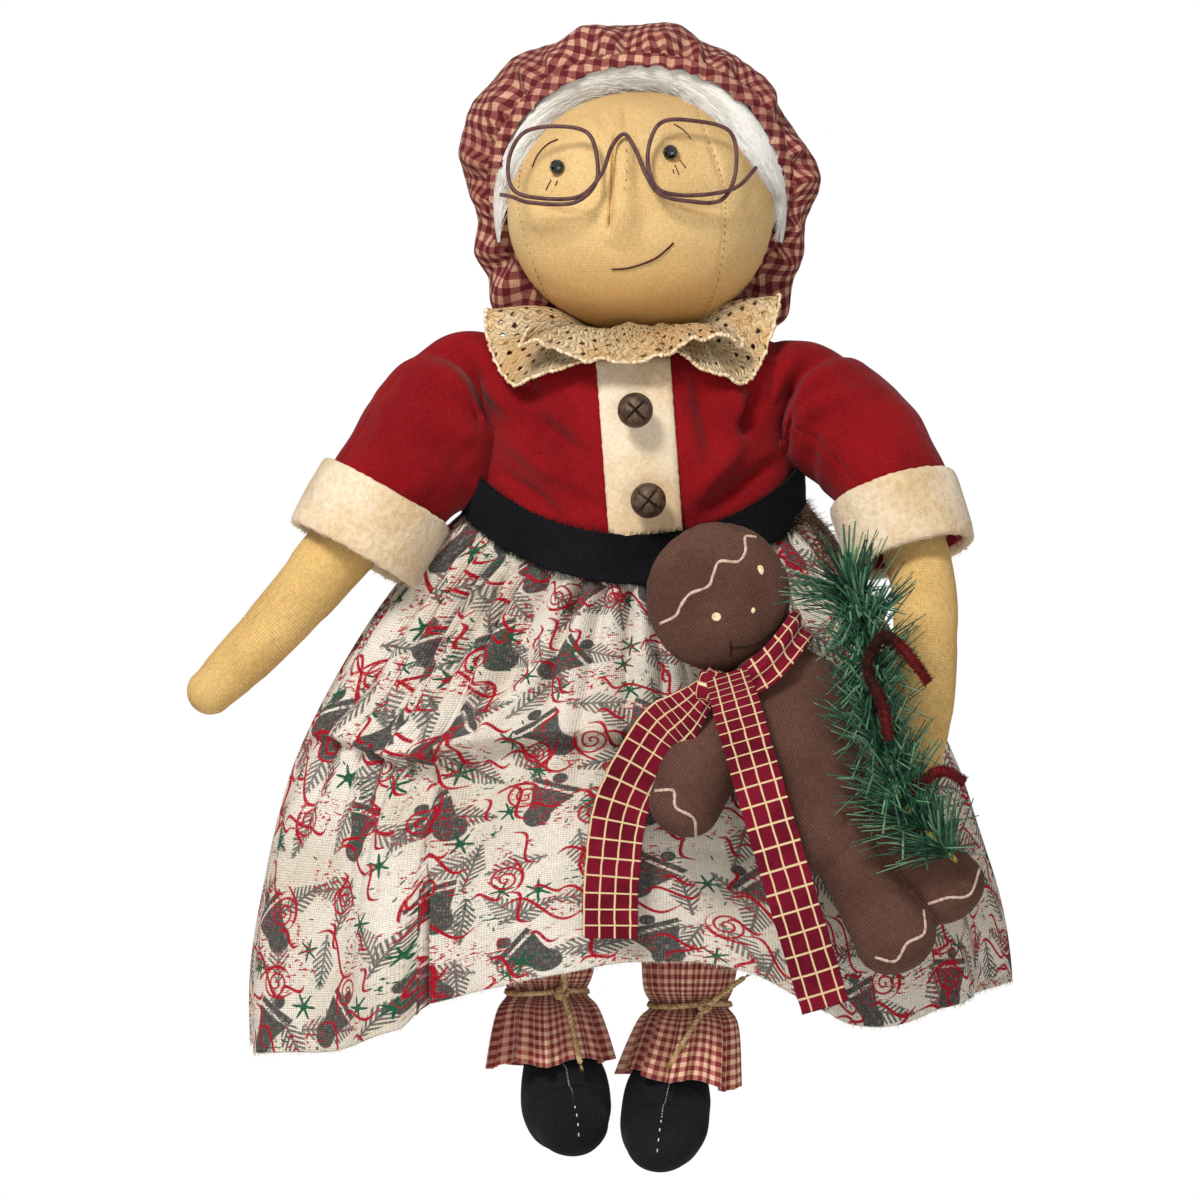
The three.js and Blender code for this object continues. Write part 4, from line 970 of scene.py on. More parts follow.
made = piece("cotton_body", stuffed(body["stations"], 48, 40, (False, False), (1, 0, 0)), "cotton", "root",
             ["torso"], away=insideBody)
made = piece("cotton_neck", stuffed(body["neck"], 32, 12, (True, True), (1, 0, 0)), "cotton", "root")
piece("felt_jacket", cloth(300, 120, jacketPoint, (340, 90), closed=True), "redFelt", "root",
      ["bodice"], away=(0, -40, -30), thick=1.5)

placket = {"top": (-0.9, 9), "foot": (4.4, -63), "half": 14.3, "lift": 1.9}


def jacketFront(x, z, lift=0.0):
    # the y of the jacket's front at x and z, found from its ovals
    share = (jacket["neckZ"] - z) / (jacket["neckZ"] - hemZ(0) + 4)
    for (a, wideA, deepA), (b, wideB, deepB) in zip(jacket["rows"], jacket["rows"][1:]):
        if a <= share <= b or b == 1:
            t = min(1, max(0, (share - a) / (b - a)))
            wide, deep = blendTo(wideA, wideB, t), blendTo(deepA, deepB, t)
            return bodyY - (deep + lift) * math.sqrt(max(0, 1 - (x / wide) ** 2))
    return bodyY


def placketPoint(u, v):
    edge = 0.25 * wobble(v * 30, 5 * round(u), 4)
    x = blendTo(placket["top"][0], placket["foot"][0], v) + (2 * u - 1) * (placket["half"] + edge)
    z = blendTo(placket["top"][1], placket["foot"][1], v)
    soft = 0.5 * wobble(x / 9, z / 9, 2) + 0.4 * math.sin(v * 9)
    sides = 0.9 * smooth(abs(2 * u - 1), 0.85, 1)
    return Vector((x, jacketFront(x, z, placket["lift"] + 0.9 + 0.4 * soft - sides), z))


made = piece("felt_placket", cloth(40, 90, placketPoint, (28.6, 67)), "creamFelt", "root",
             ["placket"], away=(0, 40, -30), thick=1.4)


# Bells: a pressed ball with a crossed slit, and its CAD ball and shank inside
bells = {"upper": ((0, -85.3, -12), 45), "lower": ((5, -85.3, -46.6), 52)}


def bellPoint(centre, turned):
    def pointAt(u, v):
        turn, up = fullTurn * u, math.pi * (v - 0.5)
        way = Vector((math.cos(turn) * math.cos(up), -math.sin(up), math.sin(turn) * math.cos(up)))
        angle = math.radians(turned)
        a = way.x * math.cos(angle) + way.z * math.sin(angle)
        b = way.z * math.cos(angle) - way.x * math.sin(angle)
        front = smooth(-way.y, 0.12, 0.5)
        slit = (math.exp(-(a / 0.05) ** 2) + math.exp(-(b / 0.05) ** 2)) * front * 0.28
        flat = 0.05 * (math.exp(-(a / 0.35) ** 2) + math.exp(-(b / 0.35) ** 2)) * front
        rim = 0.05 * bump(way.y, 0.02, 0.07)
        return Vector(centre) + way * 6.5 * (1 - slit - flat + rim)
    return pointAt


for name, (centre, turned) in bells.items():
    piece(f"{name}_rusty_bell", cloth(96, 72, bellPoint(centre, turned), (20, 10), closed=True), "bell",
          f"{name}_bell", [f"{name}_bell"], away=centre)
    for part in ("bell_ball", "bell_shank"):
        refinish(f"{name}_{part}", "bell")


# Sash: a band of long-piled felt with ragged edges
sash = {"half": 9.4, "wide": 63, "deep": 34.3, "thick": 2.4, "tufts": 3600}


def sashPoint(u, v, out=0.0):
    turn = fullTurn * (u - 0.5)
    z = hemZ(turn) + sash["half"] * (1 - 2 * v)
    flare = 1.2 * v + sash["thick"] + out + 0.5 * wobble(math.sin(turn) * 5, math.cos(turn) * 5, v * 2)
    rag = 0.5 * wobble(turn * 40, v, 3) * abs(1 - 2 * v) ** 4
    return oval(turn, sash["wide"] + flare, sash["deep"] + flare, z + rag)


made = piece("felt_sash", cloth(320, 16, sashPoint, (300, 19), closed=True), "blackFelt", "root",
             ["sash"], away=insideBody, thick=2.2)


def tuftHair():
    low = dice.random() < 0.55
    u = dice.random()
    turn = fullTurn * (u - 0.5)
    root = sashPoint(u, 0.97 if low else 0.03, -0.3 * dice.random())
    way = Vector((0, 0, -1 if low else 1)) + outward(turn) * dice.uniform(-0.1, 0.5)
    way += Vector((math.cos(turn), math.sin(turn), 0)) * dice.uniform(-0.45, 0.45)
    return root, way


tufts = bmesh.new()
fur(tufts, sash["tufts"], tuftHair, (1.0, 3.2), 0.12)
piece("sash_tufts", tufts, "blackFelt", "root")
print("jacket, bells and sash done")


# Skirt: printed linen, gathered under the sash, with a pressed lap and a frayed hem
skirt = {"waist": (65.5, 33), "hem": (149, 54), "flare": 2.35, "tucked": 9 / 210, "flat": (760, 212),
         "thick": 0.8, "fray": 1300}
skirtEdge = [  # degrees round from the front, and the height of the hem
    (-180, -225), (-150, -232), (-122, -248), (-90, -258), (-68, -259), (-52, -258), (-42, -253.5),
    (-34.9, -248.5), (-33.9, -240), (-22.5, -233.5), (-11.2, -228), (0.7, -223), (15.7, -226),
    (30.4, -243), (38, -248), (46, -248), (54, -242), (73, -233), (90, -231), (120, -241),
    (150, -233), (180, -225)]


def skirtLow(turn):
    place = min(max(math.degrees(turn), -180), 180)
    return readTable(skirtEdge, place) + 0.8 * wobble(turn * 6, 0, 1) * math.cos(turn / 2)


def skirtPoint(u, v):
    turn = fullTurn * (u - 0.5)
    turn += 0.045 * smooth(turn, -0.82, -0.63) * (1 - smooth(turn, -0.624, -0.6)) * smooth(v, 0.5, 0.8)
    free = max(0, (v - skirt["tucked"]) / (1 - skirt["tucked"]))
    right = smooth(math.sin(turn), 0.1, 0.8)
    spread = 1 - (1 - free) ** (skirt["flare"] - 0.72 * right)
    wander = 2.2 * wobble(math.sin(turn) * 1.6, math.cos(turn) * 1.6, 1)
    folds = 4 * math.sqrt(free) * math.cos(11 * turn + 1.2)
    folds += 1.5 * math.cos(24 * turn + 3 * wander) * math.exp(-((free - 0.25) / 0.3) ** 2)
    gathers = 1.3 * math.cos(52 * turn + 2.5 * wander) * math.exp(-free / 0.1) * smooth(free, 0, 0.03)
    tubes = (1.4 * abs(math.cos(25 * turn + 2.5 * wander)) ** 0.6 - 1) * (0.85 + 0.5 * wobble(turn * 5, 3, 1))
    gathers += ((9.5 * math.exp(-free / 0.36) + 0.8) * tubes
                * smooth(free, 0, 0.06) * (1 - smooth(free, 0.45, 0.85)))
    crease = 8 * bump(turn, -0.53, 0.09) * max(0, v - 0.4) * 1.6
    crease -= 6.5 * smooth(turn, -0.85, -0.63) * (1 - smooth(turn, -0.609, -0.592)) * smooth(v, 0.5, 0.85)
    lapAt = 0.43 + 0.012 * math.sin(turn * 7)
    lap = 8.5 * smooth(v, lapAt - 0.13, lapAt) ** 1.6 * (1 - smooth(v, lapAt, lapAt + 0.02))
    lap *= smooth(math.cos(turn), 0.1, 0.5)
    slanted = turn + 0.9 * v
    curl = 6 * bump(turn, -0.62, 0.08) * bump(v, 0.445, 0.03)
    curl += 6 * bump(turn, -0.46, 0.05) * bump(v, 0.39, 0.05)
    curl += 3 * bump(slanted, -0.12, 0.06) * bump(v, 0.3, 0.12)
    curl -= 5 * bump(slanted, -0.24, 0.05) * bump(v, 0.34, 0.12)
    small = 1.6 * wobble(turn * 5, v * 5, 2) * smooth(free, 0.15, 0.5)
    small -= 1.6 * bump(v, 0.72, 0.012) * smooth(math.cos(turn), 0.2, 0.6) * 0.4
    extra = folds + gathers - crease + lap + curl + small
    waist, hem = skirt["waist"], skirt["hem"]
    wide = blendTo(waist[0], hem[0] - 7 * right, spread) + extra
    deep = blendTo(waist[1], hem[1], spread) + extra
    return oval(turn, wide, deep, blendTo(hemZ(turn) - 0.3, skirtLow(turn), v))


made = piece("printed_skirt", cloth(640, 150, skirtPoint, skirt["flat"], closed=True), "linen", "root",
             ["skirt"], away=(0, -40, -150), thick=skirt["thick"])


def hemHair():
    u = dice.random()
    root, above = skirtPoint(u, 0.998), skirtPoint(u, 0.97)
    side = (skirtPoint(min(1, u + 0.002), 0.998) - root).normalized()
    return root, (root - above).normalized() + side * dice.uniform(-0.5, 0.5)


fray = bmesh.new()
fur(fray, skirt["fray"], hemHair, (0.6, 2.2), 0.12)
piece("skirt_fray", fray, "linenThread", "root")
print("skirt gathered")


# Collar: a crocheted ruffle with raised wings and a corded edge
collar = {
    "middleX": 2, "neck": (17, 17, 17.5),
    "edge": [  # the outer edge from the back, round by the viewer's left, to the back again
        (0, -3, 17), (-26, -6, 20), (-45, -20, 20), (-56.6, -46, 27), (-55, -60, 12), (-47.7, -69, -1.4),
        (-39, -74, 1.6), (-29, -76, 3.6), (-17, -77, 9), (-6, -77.5, 11), (6, -77.5, 11.5), (16, -76, 10.5),
        (25, -75.5, 5), (34, -73.5, 1.6), (41.5, -69, -0.8), (49.5, -60, 10), (55.5, -47, 33), (45, -22, 22),
        (26, -6, 20), (0, -3, 17)],
    "front": [  # the lower edge of the narrow ruffle in front, from its curled left end to its right end
        (-40, -71, 19), (-44.3, -77, 13), (-36, -81, 14.5), (-29, -82, 10.6), (-17.3, -83.5, 7.6),
        (-5.8, -84, 7.0), (7.7, -83.5, 8.0), (17.3, -82, 13), (25, -80.5, 16), (34.7, -77, 16.4),
        (41, -70.5, 13.5), (39, -66, 18)],
}
collarEdge = vectors(collar["edge"])
frontEdge = vectors(collar["front"])


def neckPoint(turn, out=0.0, up=0.0):
    # where the lace is gathered at the neck
    wide, deep, z = collar["neck"]
    return Vector((collar["middleX"], 0, 0)) + oval(turn, wide + out, deep + out, z + up)


def collarPoint(u, v):
    edge = onLine(collarEdge, u)
    neck = neckPoint(math.atan2(edge.x, bodyY - edge.y))
    spot = neck + (edge - neck) * v
    ruffle = math.sin(u * fullTurn * 9) * 2.6 + math.sin(u * fullTurn * 23 + 2) * 0.9
    arch = 6.2 * math.sin(math.pi * v ** 0.8) + ruffle * v * (1.2 - v)
    scallop = 0.7 * abs(math.sin(u * fullTurn * 30)) * smooth(v, 0.85, 1)
    return spot + Vector((0, -0.35 * arch, arch)) + (edge - neck).normalized() * scallop


made = piece("crochet_collar", cloth(420, 40, collarPoint, (330, 36), closed=True), "lace", "root",
             ["lace_collar"], away=(2, -40, -60), thick=0.9)


def frontRufflePoint(u, v):
    edge = onLine(frontEdge, u)
    neck = neckPoint(blendTo(-1.35, 1.35, u), 1, 0.5)
    spot = neck + (edge - neck) * v
    ripple = math.sin(u * 47 + 1.2) * 1.1 + math.sin(u * 83) * 0.5
    arch = 5.6 * math.sin(math.pi * v ** 0.85) + ripple * smooth(v, 0.2, 0.7)
    scallop = 0.6 * abs(math.sin(u * math.pi * 24)) * smooth(v, 0.85, 1)
    return spot + Vector((0, -0.45 * arch, 0.75 * arch)) + (edge - neck).normalized() * scallop


made = piece("crochet_front_ruffle", cloth(260, 32, frontRufflePoint, (112, 30)), "lace", "root",
             away=(2, -40, -60), thick=0.9)
cordEdge = bmesh.new()
for edgeAt, spans, steps, seed in ((collarPoint, 160, 900, 2), (frontRufflePoint, 80, 450, 4)):
    tube(cordEdge, [edgeAt(i / spans, 1.0) for i in range(spans + 1)], 0.75, 7, steps,
         lambda t: 0.9 + 0.25 * math.sin(t * steps) + 0.7 * wobble(t * steps * 7 / 45, seed, 5))
piece("collar_cord", cordEdge, "cordThread", "root")
print("collar crocheted")


# Arms: a stuffed cotton arm in a full felt sleeve with a turned-up fleece cuff
sleeves = {
    "right": {
        "stations": [(-49, -40, -5, 20, 14), (-67, -42, -5.5, 24, 21), (-81.5, -44.5, -23, 24.5, 23),
                     (-95.5, -48, -43, 24, 22)],
        "way": (-0.488, -0.07, -0.87), "cuff": 24, "seam": 3.6, "armSeam": 0.62, "blend": (-58, -80),
        "arm": [(-68, -40.5, -2, 8, 8), (-84, -44, -24, 12.5, 12.5), (-104, -49, -54, 13, 12.5),
                (-119, -52, -71, 13.5, 12.5), (-130, -53.5, -85, 12.5, 12), (-149.5, -56, -106, 11, 11),
                (-163.4, -58, -119.6, 9.3, 9.3)],
        "folds": [  # angle, v, widths of both, slant, height
            (0.0, 0.12, 1.4, 0.035, 0.0, -2.2), (4.7, 0.17, 1.1, 0.038, -0.07, -6.0),
            (4.6, 0.26, 1.0, 0.055, -0.07, 2.6), (0.1, 0.55, 0.9, 0.14, 0.0, 4.0),
            (5.4, 0.3, 0.8, 0.05, 0.12, -1.5), (5.0, 0.42, 1.0, 0.06, -0.1, 1.2),
            (5.6, 0.55, 0.7, 0.05, 0.1, -1.2), (3.9, 0.5, 0.8, 0.08, 0.1, 0.9),
            (0.3, 0.35, 0.8, 0.09, 0.0, 2.2)], "phase": 0.4,
    },
    "left": {
        "stations": [(49, -40, -5, 20, 14), (68, -43, -8, 22.5, 21), (85.5, -49, -23, 23.5, 22),
                     (99, -56, -42, 22, 20.5)],
        "way": (0.28, -0.25, -0.926), "cuff": 21.5, "seam": 4.15, "armSeam": 0.4, "blend": (58, 80),
        "arm": [(68, -41.5, -3, 8, 8), (87, -49, -21, 12.5, 12.5), (103, -59, -53, 12.5, 12.5),
                (110, -68, -76, 12.5, 12.5), (111.5, -78, -97, 12.5, 12), (110, -90, -125, 12, 11),
                (107.2, -97, -148.4, 9.3, 9.3)],
        "folds": [
            (3.1, 0.12, 1.3, 0.035, 0.0, -2.2), (4.7, 0.16, 1.1, 0.038, 0.07, -6.0),
            (4.8, 0.25, 1.0, 0.055, 0.07, 2.6), (4.3, 0.24, 0.8, 0.045, -0.12, -2.0),
            (4.6, 0.34, 0.9, 0.05, 0.1, 1.6), (4.0, 0.44, 0.7, 0.045, -0.1, -1.7),
            (5.2, 0.5, 0.8, 0.08, 0.1, 0.8), (3.0, 0.33, 0.8, 0.09, 0.0, 2.0)], "phase": 2.1,
    },
}
cuffShape = {"long": 28, "thick": 2.2, "peek": -3, "fray": 260, "pile": 900}


def gap(angle, other):
    return abs((angle - other + math.pi) % fullTurn - math.pi)


def sleeveRelief(sleeve):
    def relief(angle, v):
        total = 0
        for around, middle, wideAngle, wide, slant, high in sleeve["folds"]:
            off = (angle - around + math.pi) % fullTurn - math.pi
            total += 1.7 * high * bump(off, 0, wideAngle) * bump(v, middle + slant * off, wide)
        total += 1.6 * wobble(math.cos(angle) * 1.4, math.sin(angle) * 1.4, v * 4 + sleeve["phase"])
        total += 0.5 * wobble(math.cos(angle) * 4, math.sin(angle) * 4, v * 11 + sleeve["phase"])
        return total - 0.8 * bump(gap(angle, sleeve["seam"]), 0, 0.05)
    return relief


def armRelief(seam):
    def relief(angle, v):
        lump = 0.55 * wobble(math.cos(angle) * 1.5, math.sin(angle) * 1.5, v * 9)
        creases = 0.25 * bump(math.sin(v * 42 + angle), 1, 0.3) * (v > 0.5)
        return lump - 0.5 * bump(gap(angle, seam), 0, 0.06) - creases
    return relief


def stitchesAlong(bm, pointAt, u, low, high, count, radius=0.2, share=0.45):
    for i in range(count):
        a, b = (pointAt(u, blendTo(low, high, (i + part) / count)) for part in (0, share))
        spike(bm, a, b - a, (b - a).length, radius, 4, 0.9)


for side, sleeve in sleeves.items():
    lower = f"{side}_arm"
    way = Vector(sleeve["way"]).normalized()
    start = Vector(sleeve["stations"][-1][:3])
    hem = start + way * (cuffShape["long"] + cuffShape["peek"])
    stations = [*sleeve["stations"], (*hem, sleeve["cuff"], sleeve["cuff"] - 1)]
    pointAt = stuffedPoint(stations, (False, False), None, sleeveRelief(sleeve))
    made = piece(f"{side}_felt_sleeve", cloth(150, 130, pointAt, (140, 105), closed=True), "redFelt", "root",
                 [f"{side}_sleeve"], away=sleeve["stations"][2][:3], thick=1.4)
    made.parent = None
    near, far = sleeve["blend"]
    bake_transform(made)

    fray = bmesh.new()
    fur(fray, cuffShape["fray"], lambda: (pointAt(dice.random(), 0.996), way + strewn(0.7)), (0.8, 2.6), 0.13)
    piece(f"{side}_sleeve_fray", fray, "redThread", lower)

    acrossWay = way.cross(Vector((0, 1, 0))).normalized()
    deepWay = acrossWay.cross(way)

    def cuffPoint(u, v):
        angle, section = fullTurn * u, fullTurn * v
        s, c = math.sin(section), math.cos(section)
        long = cuffShape["long"] / 2 * math.copysign(abs(s) ** 0.28, s)
        out = cuffShape["thick"] * math.copysign(abs(c) ** 0.55, c)
        soft = 0.8 * wobble(math.cos(angle) * 3, math.sin(angle) * 3, long / 9 + sleeve["phase"])
        edge = 0.5 * wobble(angle * 9, sleeve["phase"], round(s)) * abs(s)
        reach = sleeve["cuff"] + 1.9 + out + soft * 0.8
        spot = start + way * (cuffShape["long"] / 2 + long + edge)
        return spot + acrossWay * reach * math.cos(angle) + deepWay * (reach - 1) * math.sin(angle)

    piece(f"{side}_fleece_cuff", cloth(200, 44, cuffPoint, (150, 64), closed=True), "fleece", lower,
          [f"{side}_cuff"])

    def pileHair():
        u, v = dice.random(), dice.choice((0.25, 0.75)) + dice.gauss(0, 0.03)
        root = cuffPoint(u, v)
        out = (root - start - way * (root - start).dot(way)).normalized()
        along = way * (-1 if v < 0.5 else 1) * (1 if math.sin(fullTurn * v) < 0 else -1)
        return root, along + out * 0.4 + strewn(0.6)

    pile = bmesh.new()
    fur(pile, cuffShape["pile"], pileHair, (0.6, 1.5), 0.1)
    piece(f"{side}_cuff_pile", pile, "fleece", lower)

    seam = sleeve["armSeam"]
    armAt = stuffedPoint(sleeve["arm"], (True, True), None, armRelief(seam * fullTurn))
    made = piece(f"{side}_cotton_arm", cloth(72, 150, armAt, (80, 175), closed=True), "cotton", lower,
                 [f"{side}_arm"], away=sleeve["arm"][3][:3])
    stitches = bmesh.new()
    stitchesAlong(stitches, armAt, seam, 0.45, 0.97, 42)
    piece(f"{side}_arm_stitches", stitches, "tanThread", lower)
print("arms sewn")


# Legs: bloomers tied with jute above a ruffle, and stuffed felt boots
legs = {  # stations as x, y, z and two half widths
    "right": {
        "bloomer": [(-24, -40, -158, 15.2, 15.2), (-31, -40, -195, 19, 19), (-34, -40, -227, 17, 17),
                    (-34, -40, -236, 13.4, 13.4), (-34, -40, -243, 18, 18), (-32.8, -40, -263, 22.5, 22.5)],
        "boot": [(-30.5, -40, -256, 12, 12), (-27.5, -42, -270, 17.2, 15.7), (-26, -50, -282.5, 17.2, 15.7),
                 (-24, -59, -288, 14, 12)],
        "leg": [(-24, -40, -148.3, 10, 10), (-31, -40, -195, 10, 10), (-34, -40, -236, 10, 10),
                (-30.5, -40, -257, 10, 10)],
        "tilt": -1.2, "phase": 0.3},
    "left": {
        "bloomer": [(23, -40, -158, 15.2, 15.2), (23, -40, -200, 19, 19), (21.2, -40, -232, 17, 17),
                    (21.2, -40, -241, 13.4, 13.4), (21.2, -40, -248, 18, 18), (17.6, -40, -270, 22.5, 22.5)],
        "boot": [(16.5, -40, -262, 12, 12), (12.8, -42, -276, 17.2, 15.7), (10.8, -50, -288.5, 17.2, 15.7),
                 (9.6, -59, -294, 14, 12)],
        "leg": [(23, -40, -148.3, 10, 10), (23, -40, -200, 10, 10), (21.2, -40, -241, 10, 10),
                (16.5, -40, -263, 10, 10)],
        "tilt": 3.6, "phase": 1.7},
}
jute = {
    "ring": 15.4, "knot": (6, -15.8, 0), "frayed": 26, "turns": (0, 1.1, 2.2),
    "right": [[(3, -4.5, -9), (5, -6.5, -19), (7, -8, -27)], [(1, -3.5, 5), (0, -5.5, 9)]],
    "left": [[(5, -4, 3.5), (10, -4.5, 7.5), (15, -4, 11)], [(-5, -4.5, -8), (-10, -6, -16), (-14, -7, -23)]],
}


def twine(bm, path, radius, pitch=3.2):
    # two plies twisted round each other along a line
    line = vectors(path)
    long = lengthOf(line)
    steps = int(long / 0.8)
    for ply in (0, math.pi):
        spots = []
        for i in range(steps + 1):
            t = i / steps
            spot, forward = onLine(line, t), heading(line, t)
            side = forward.cross(Vector((0.2, 0.3, 1))).normalized()
            turn = ply + fullTurn * t * long / pitch
            spots.append(spot + (side * math.cos(turn) + forward.cross(side) * math.sin(turn)) * radius * 0.5)
        tube(bm, spots, radius * 0.62, 5, steps)


for side, leg in legs.items():
    lower = f"{side}_leg"
    stations = leg["bloomer"]
    centres, sizes = vectors([s[:3] for s in stations]), vectors([(s[3], 0, 0) for s in stations])

    def bloomerPoint(u, v):
        angle = fullTurn * u
        centre, size = onLine(centres, v), onLine(sizes, v).x
        tie = math.exp(-((v - 0.6) / 0.12) ** 2)
        flare = smooth(v, 0.62, 1)
        pleats = pleatWave(angle, 21, leg["phase"]) * (0.5 + 0.9 * tie + 0.7 * flare)
        pleats += pleatWave(angle, 9, leg["phase"] + 5) * (0.8 + 1.3 * flare)
        fall = flare * (leg["tilt"] * math.sin(angle) + 1.5 * math.cos(5 * angle + leg["phase"]))
        return centre + outward(angle) * (size + pleats) + Vector((0, 0, -fall))

    piece(f"{side}_gingham_bloomer", cloth(300, 90, bloomerPoint, (170, 118), closed=True), "bloomer", lower,
          [f"{side}_bloomer"], away=centres[1], thick=0.5)
    made = piece(f"{side}_cotton_leg", stuffed(leg["leg"], 32, 40, (True, True)), "cotton", lower,
                 [f"{side}_leg"], away=(leg["leg"][1][0], -40, -200))

    def bootRelief(angle, v):
        seam = 1.0 * bump(gap(angle, 1.5 * math.pi), 0, 0.06) + 0.5 * bump(gap(angle, 0), 0, 0.05)
        return 0.9 * wobble(math.cos(angle) * 1.6, math.sin(angle) * 1.6, v * 4 + leg["phase"]) - seam

    bootAt = stuffedPoint(leg["boot"], (False, True), (1, 0, 0), bootRelief)
    boot = cloth(96, 110, bootAt, (100, 70), closed=True)
    softened(boot, [vert for vert in boot.verts if not vert.is_boundary], 40)
    made = piece(f"{side}_felt_boot", boot, "bootFelt", lower, [f"{side}_boot"],
                 away=leg["boot"][2][:3])
    stitches = bmesh.new()
    stitchesAlong(stitches, bootAt, 0.757, 0.1, 0.995, 34, 0.3, 0.3)
    piece(f"{side}_boot_stitches", stitches, "whiteThread", lower)

    tie = Vector(leg["bloomer"][3][:3])
    ring = [tie + outward(a) * jute["ring"] + Vector((0, 0, 0.6 * math.sin(2 * a)))
            for a in (fullTurn * i / 20 + 0.4 for i in range(21))]
    knot = tie + Vector(jute["knot"])
    yarn = bmesh.new()
    twine(yarn, ring, 1.25)
    for tail in jute[side]:
        path = [knot, *[knot + Vector(step) for step in tail]]
        twine(yarn, path, 1.2)
        for _ in range(jute["frayed"]):
            way = (path[-1] - path[-2]).normalized() + strewn(0.35)
            spike(yarn, path[-1] - way * 1.5, way, dice.uniform(2.5, 5), 0.16)
    for turned in jute["turns"]:
        loop = [knot + Vector((2.3 * math.cos(a), 1.2 * math.sin(a + turned) - 0.8,
                               2.1 * math.sin(a) * math.cos(turned) + 0.6 * math.cos(a)))
                for a in (fullTurn * i / 8 for i in range(9))]
        twine(yarn, loop, 1.0)
    piece(f"{side}_jute_twine", yarn, "jute", lower, [f"{side}_jute_tie"])
print("legs dressed")


# Gingerbread toy: a flat stuffed shape with seams round its edge, painted icing and a stitched smile
toy = {
    "seamY": -109.5,
    "parts": [
        [(49, -109, -114, 13, 11), (54, -109, -126, 19.5, 14.5), (66, -109, -150, 21, 14.5),
         (79, -110, -174, 21, 14.5)],
        [(39, -110, -127, 12, 10), (27, -112, -145, 15, 12), (18.5, -113, -163, 14, 12)],
        [(60, -109, -112.5, 11, 10), (74, -107, -121, 11, 9.5), (92, -101, -128, 10, 8)],
        [(82, -110, -180, 15, 13), (91, -111, -198, 15, 13), (99.5, -112, -214, 16, 13)],
        [(93, -109, -168, 14, 12), (107, -110, -181, 14, 12), (119.6, -111, -195, 15, 12)],
    ],
    "head": (31.6, -108, -83.5), "headHalf": (27.5, 14.5, 28.5),
    "icing": [
        [(9.4, -93.7), (15.3, -90.7), (17.3, -86.8), (20.8, -82.4), (27.6, -79.5), (29.6, -75), (32, -70.1),
         (38.9, -70.1), (41.8, -66.2), (41.8, -60.8), (45.8, -60.8)],
        [(7.6, -157.3), (14.4, -157.3), (15.4, -163.5), (22, -167.6), (23, -174.4)],
        [(91.2, -220.6), (98.9, -221.8), (103.2, -215.2), (109.7, -211.4), (109.7, -202.9)],
        [(111.7, -200.2), (118.6, -197.9), (127, -196.7), (131, -187)],
    ],
    "dots": [(30.8, -90.9, 1.9, 1.9), (47.4, -73.5, 1.5, 2.1), (44.7, -88.6, 0.95, 1.2)],
    "smile": [(36.2, -103), (43.5, -102.2), (50, -98.6), (55, -93.6), (58, -86.4)],
    "tick": [(36.3, -106), (36.2, -100.6)],
    "legSeam": [(92, -179), (97, -186), (108, -199), (121, -215)], "legFrom": (85, -172),
}


def fused(name, meshes, grid):
    # one closed skin round shapes that run into each other
    bm = bmesh.new()
    for part in meshes:
        bm.from_mesh(meshOf("part", part))
    bmesh.ops.recalc_face_normals(bm, faces=bm.faces)
    made = link(bpy.data.objects.new(name, meshOf(name, bm)))
    remesh = made.modifiers.new("skin", "REMESH")
    remesh.mode, remesh.voxel_size = "VOXEL", grid
    bpy.context.view_layer.update()
    skin = bpy.data.meshes.new_from_object(made.evaluated_get(bpy.context.evaluated_depsgraph_get()))
    bpy.data.objects.remove(made)
    bm = bmesh.new()
    bm.from_mesh(skin)
    return bm


def edgeSeam(bm, seamY, deep, wide):
    # draws the cloth in along the seam that runs round the middle of the toy
    bm.normal_update()
    for vert in bm.verts:
        side = math.hypot(vert.normal.x, vert.normal.z)
        pull = bump(vert.co.y, seamY, wide) * smooth(side, 0.75, 0.95)
        pucker = 0.25 * wobble(vert.co.x / 2.2, vert.co.y / 6, vert.co.z / 2.2) * bump(vert.co.y, seamY, 4)
        vert.co -= vert.normal * (deep * pull - pucker)


toyShapes = [stuffed(part, 40, 40) for part in toy["parts"]]
toyBody = fused("toySkin", toyShapes, 1.15)
softened(toyBody, toyBody.verts, 2)
edgeSeam(toyBody, toy["seamY"], 0.8, 0.9)
legSeam = upright(toy["legSeam"])
legSeamPoints = [onLine(legSeam, i / 40) for i in range(41)]
for vert in toyBody.verts:
    if vert.co.x > toy["legFrom"][0] and vert.co.z < toy["legFrom"][1]:
        near = min(math.hypot(vert.co.x - p.x, vert.co.z - p.z) for p in legSeamPoints)
        vert.co.y += math.copysign(3.4, toy["seamY"] - vert.co.y) * math.exp(-(near / 1.9) ** 2)
edgeSpots = []
for vert in toyBody.verts:
    if abs(vert.co.y - toy["seamY"]) < 0.7 and all((vert.co - spot).length > 2.7 for spot, _ in edgeSpots):
        edgeSpots.append((vert.co.copy(), vert.normal.copy()))
toyBodyPiece = piece("gingerbread_cloth_body", toyBody, "twill", "left_arm",
                     ["gingerbread_body", "gingerbread_arm_near", "gingerbread_arm_far",
                      "gingerbread_leg_near", "gingerbread_leg_far"])


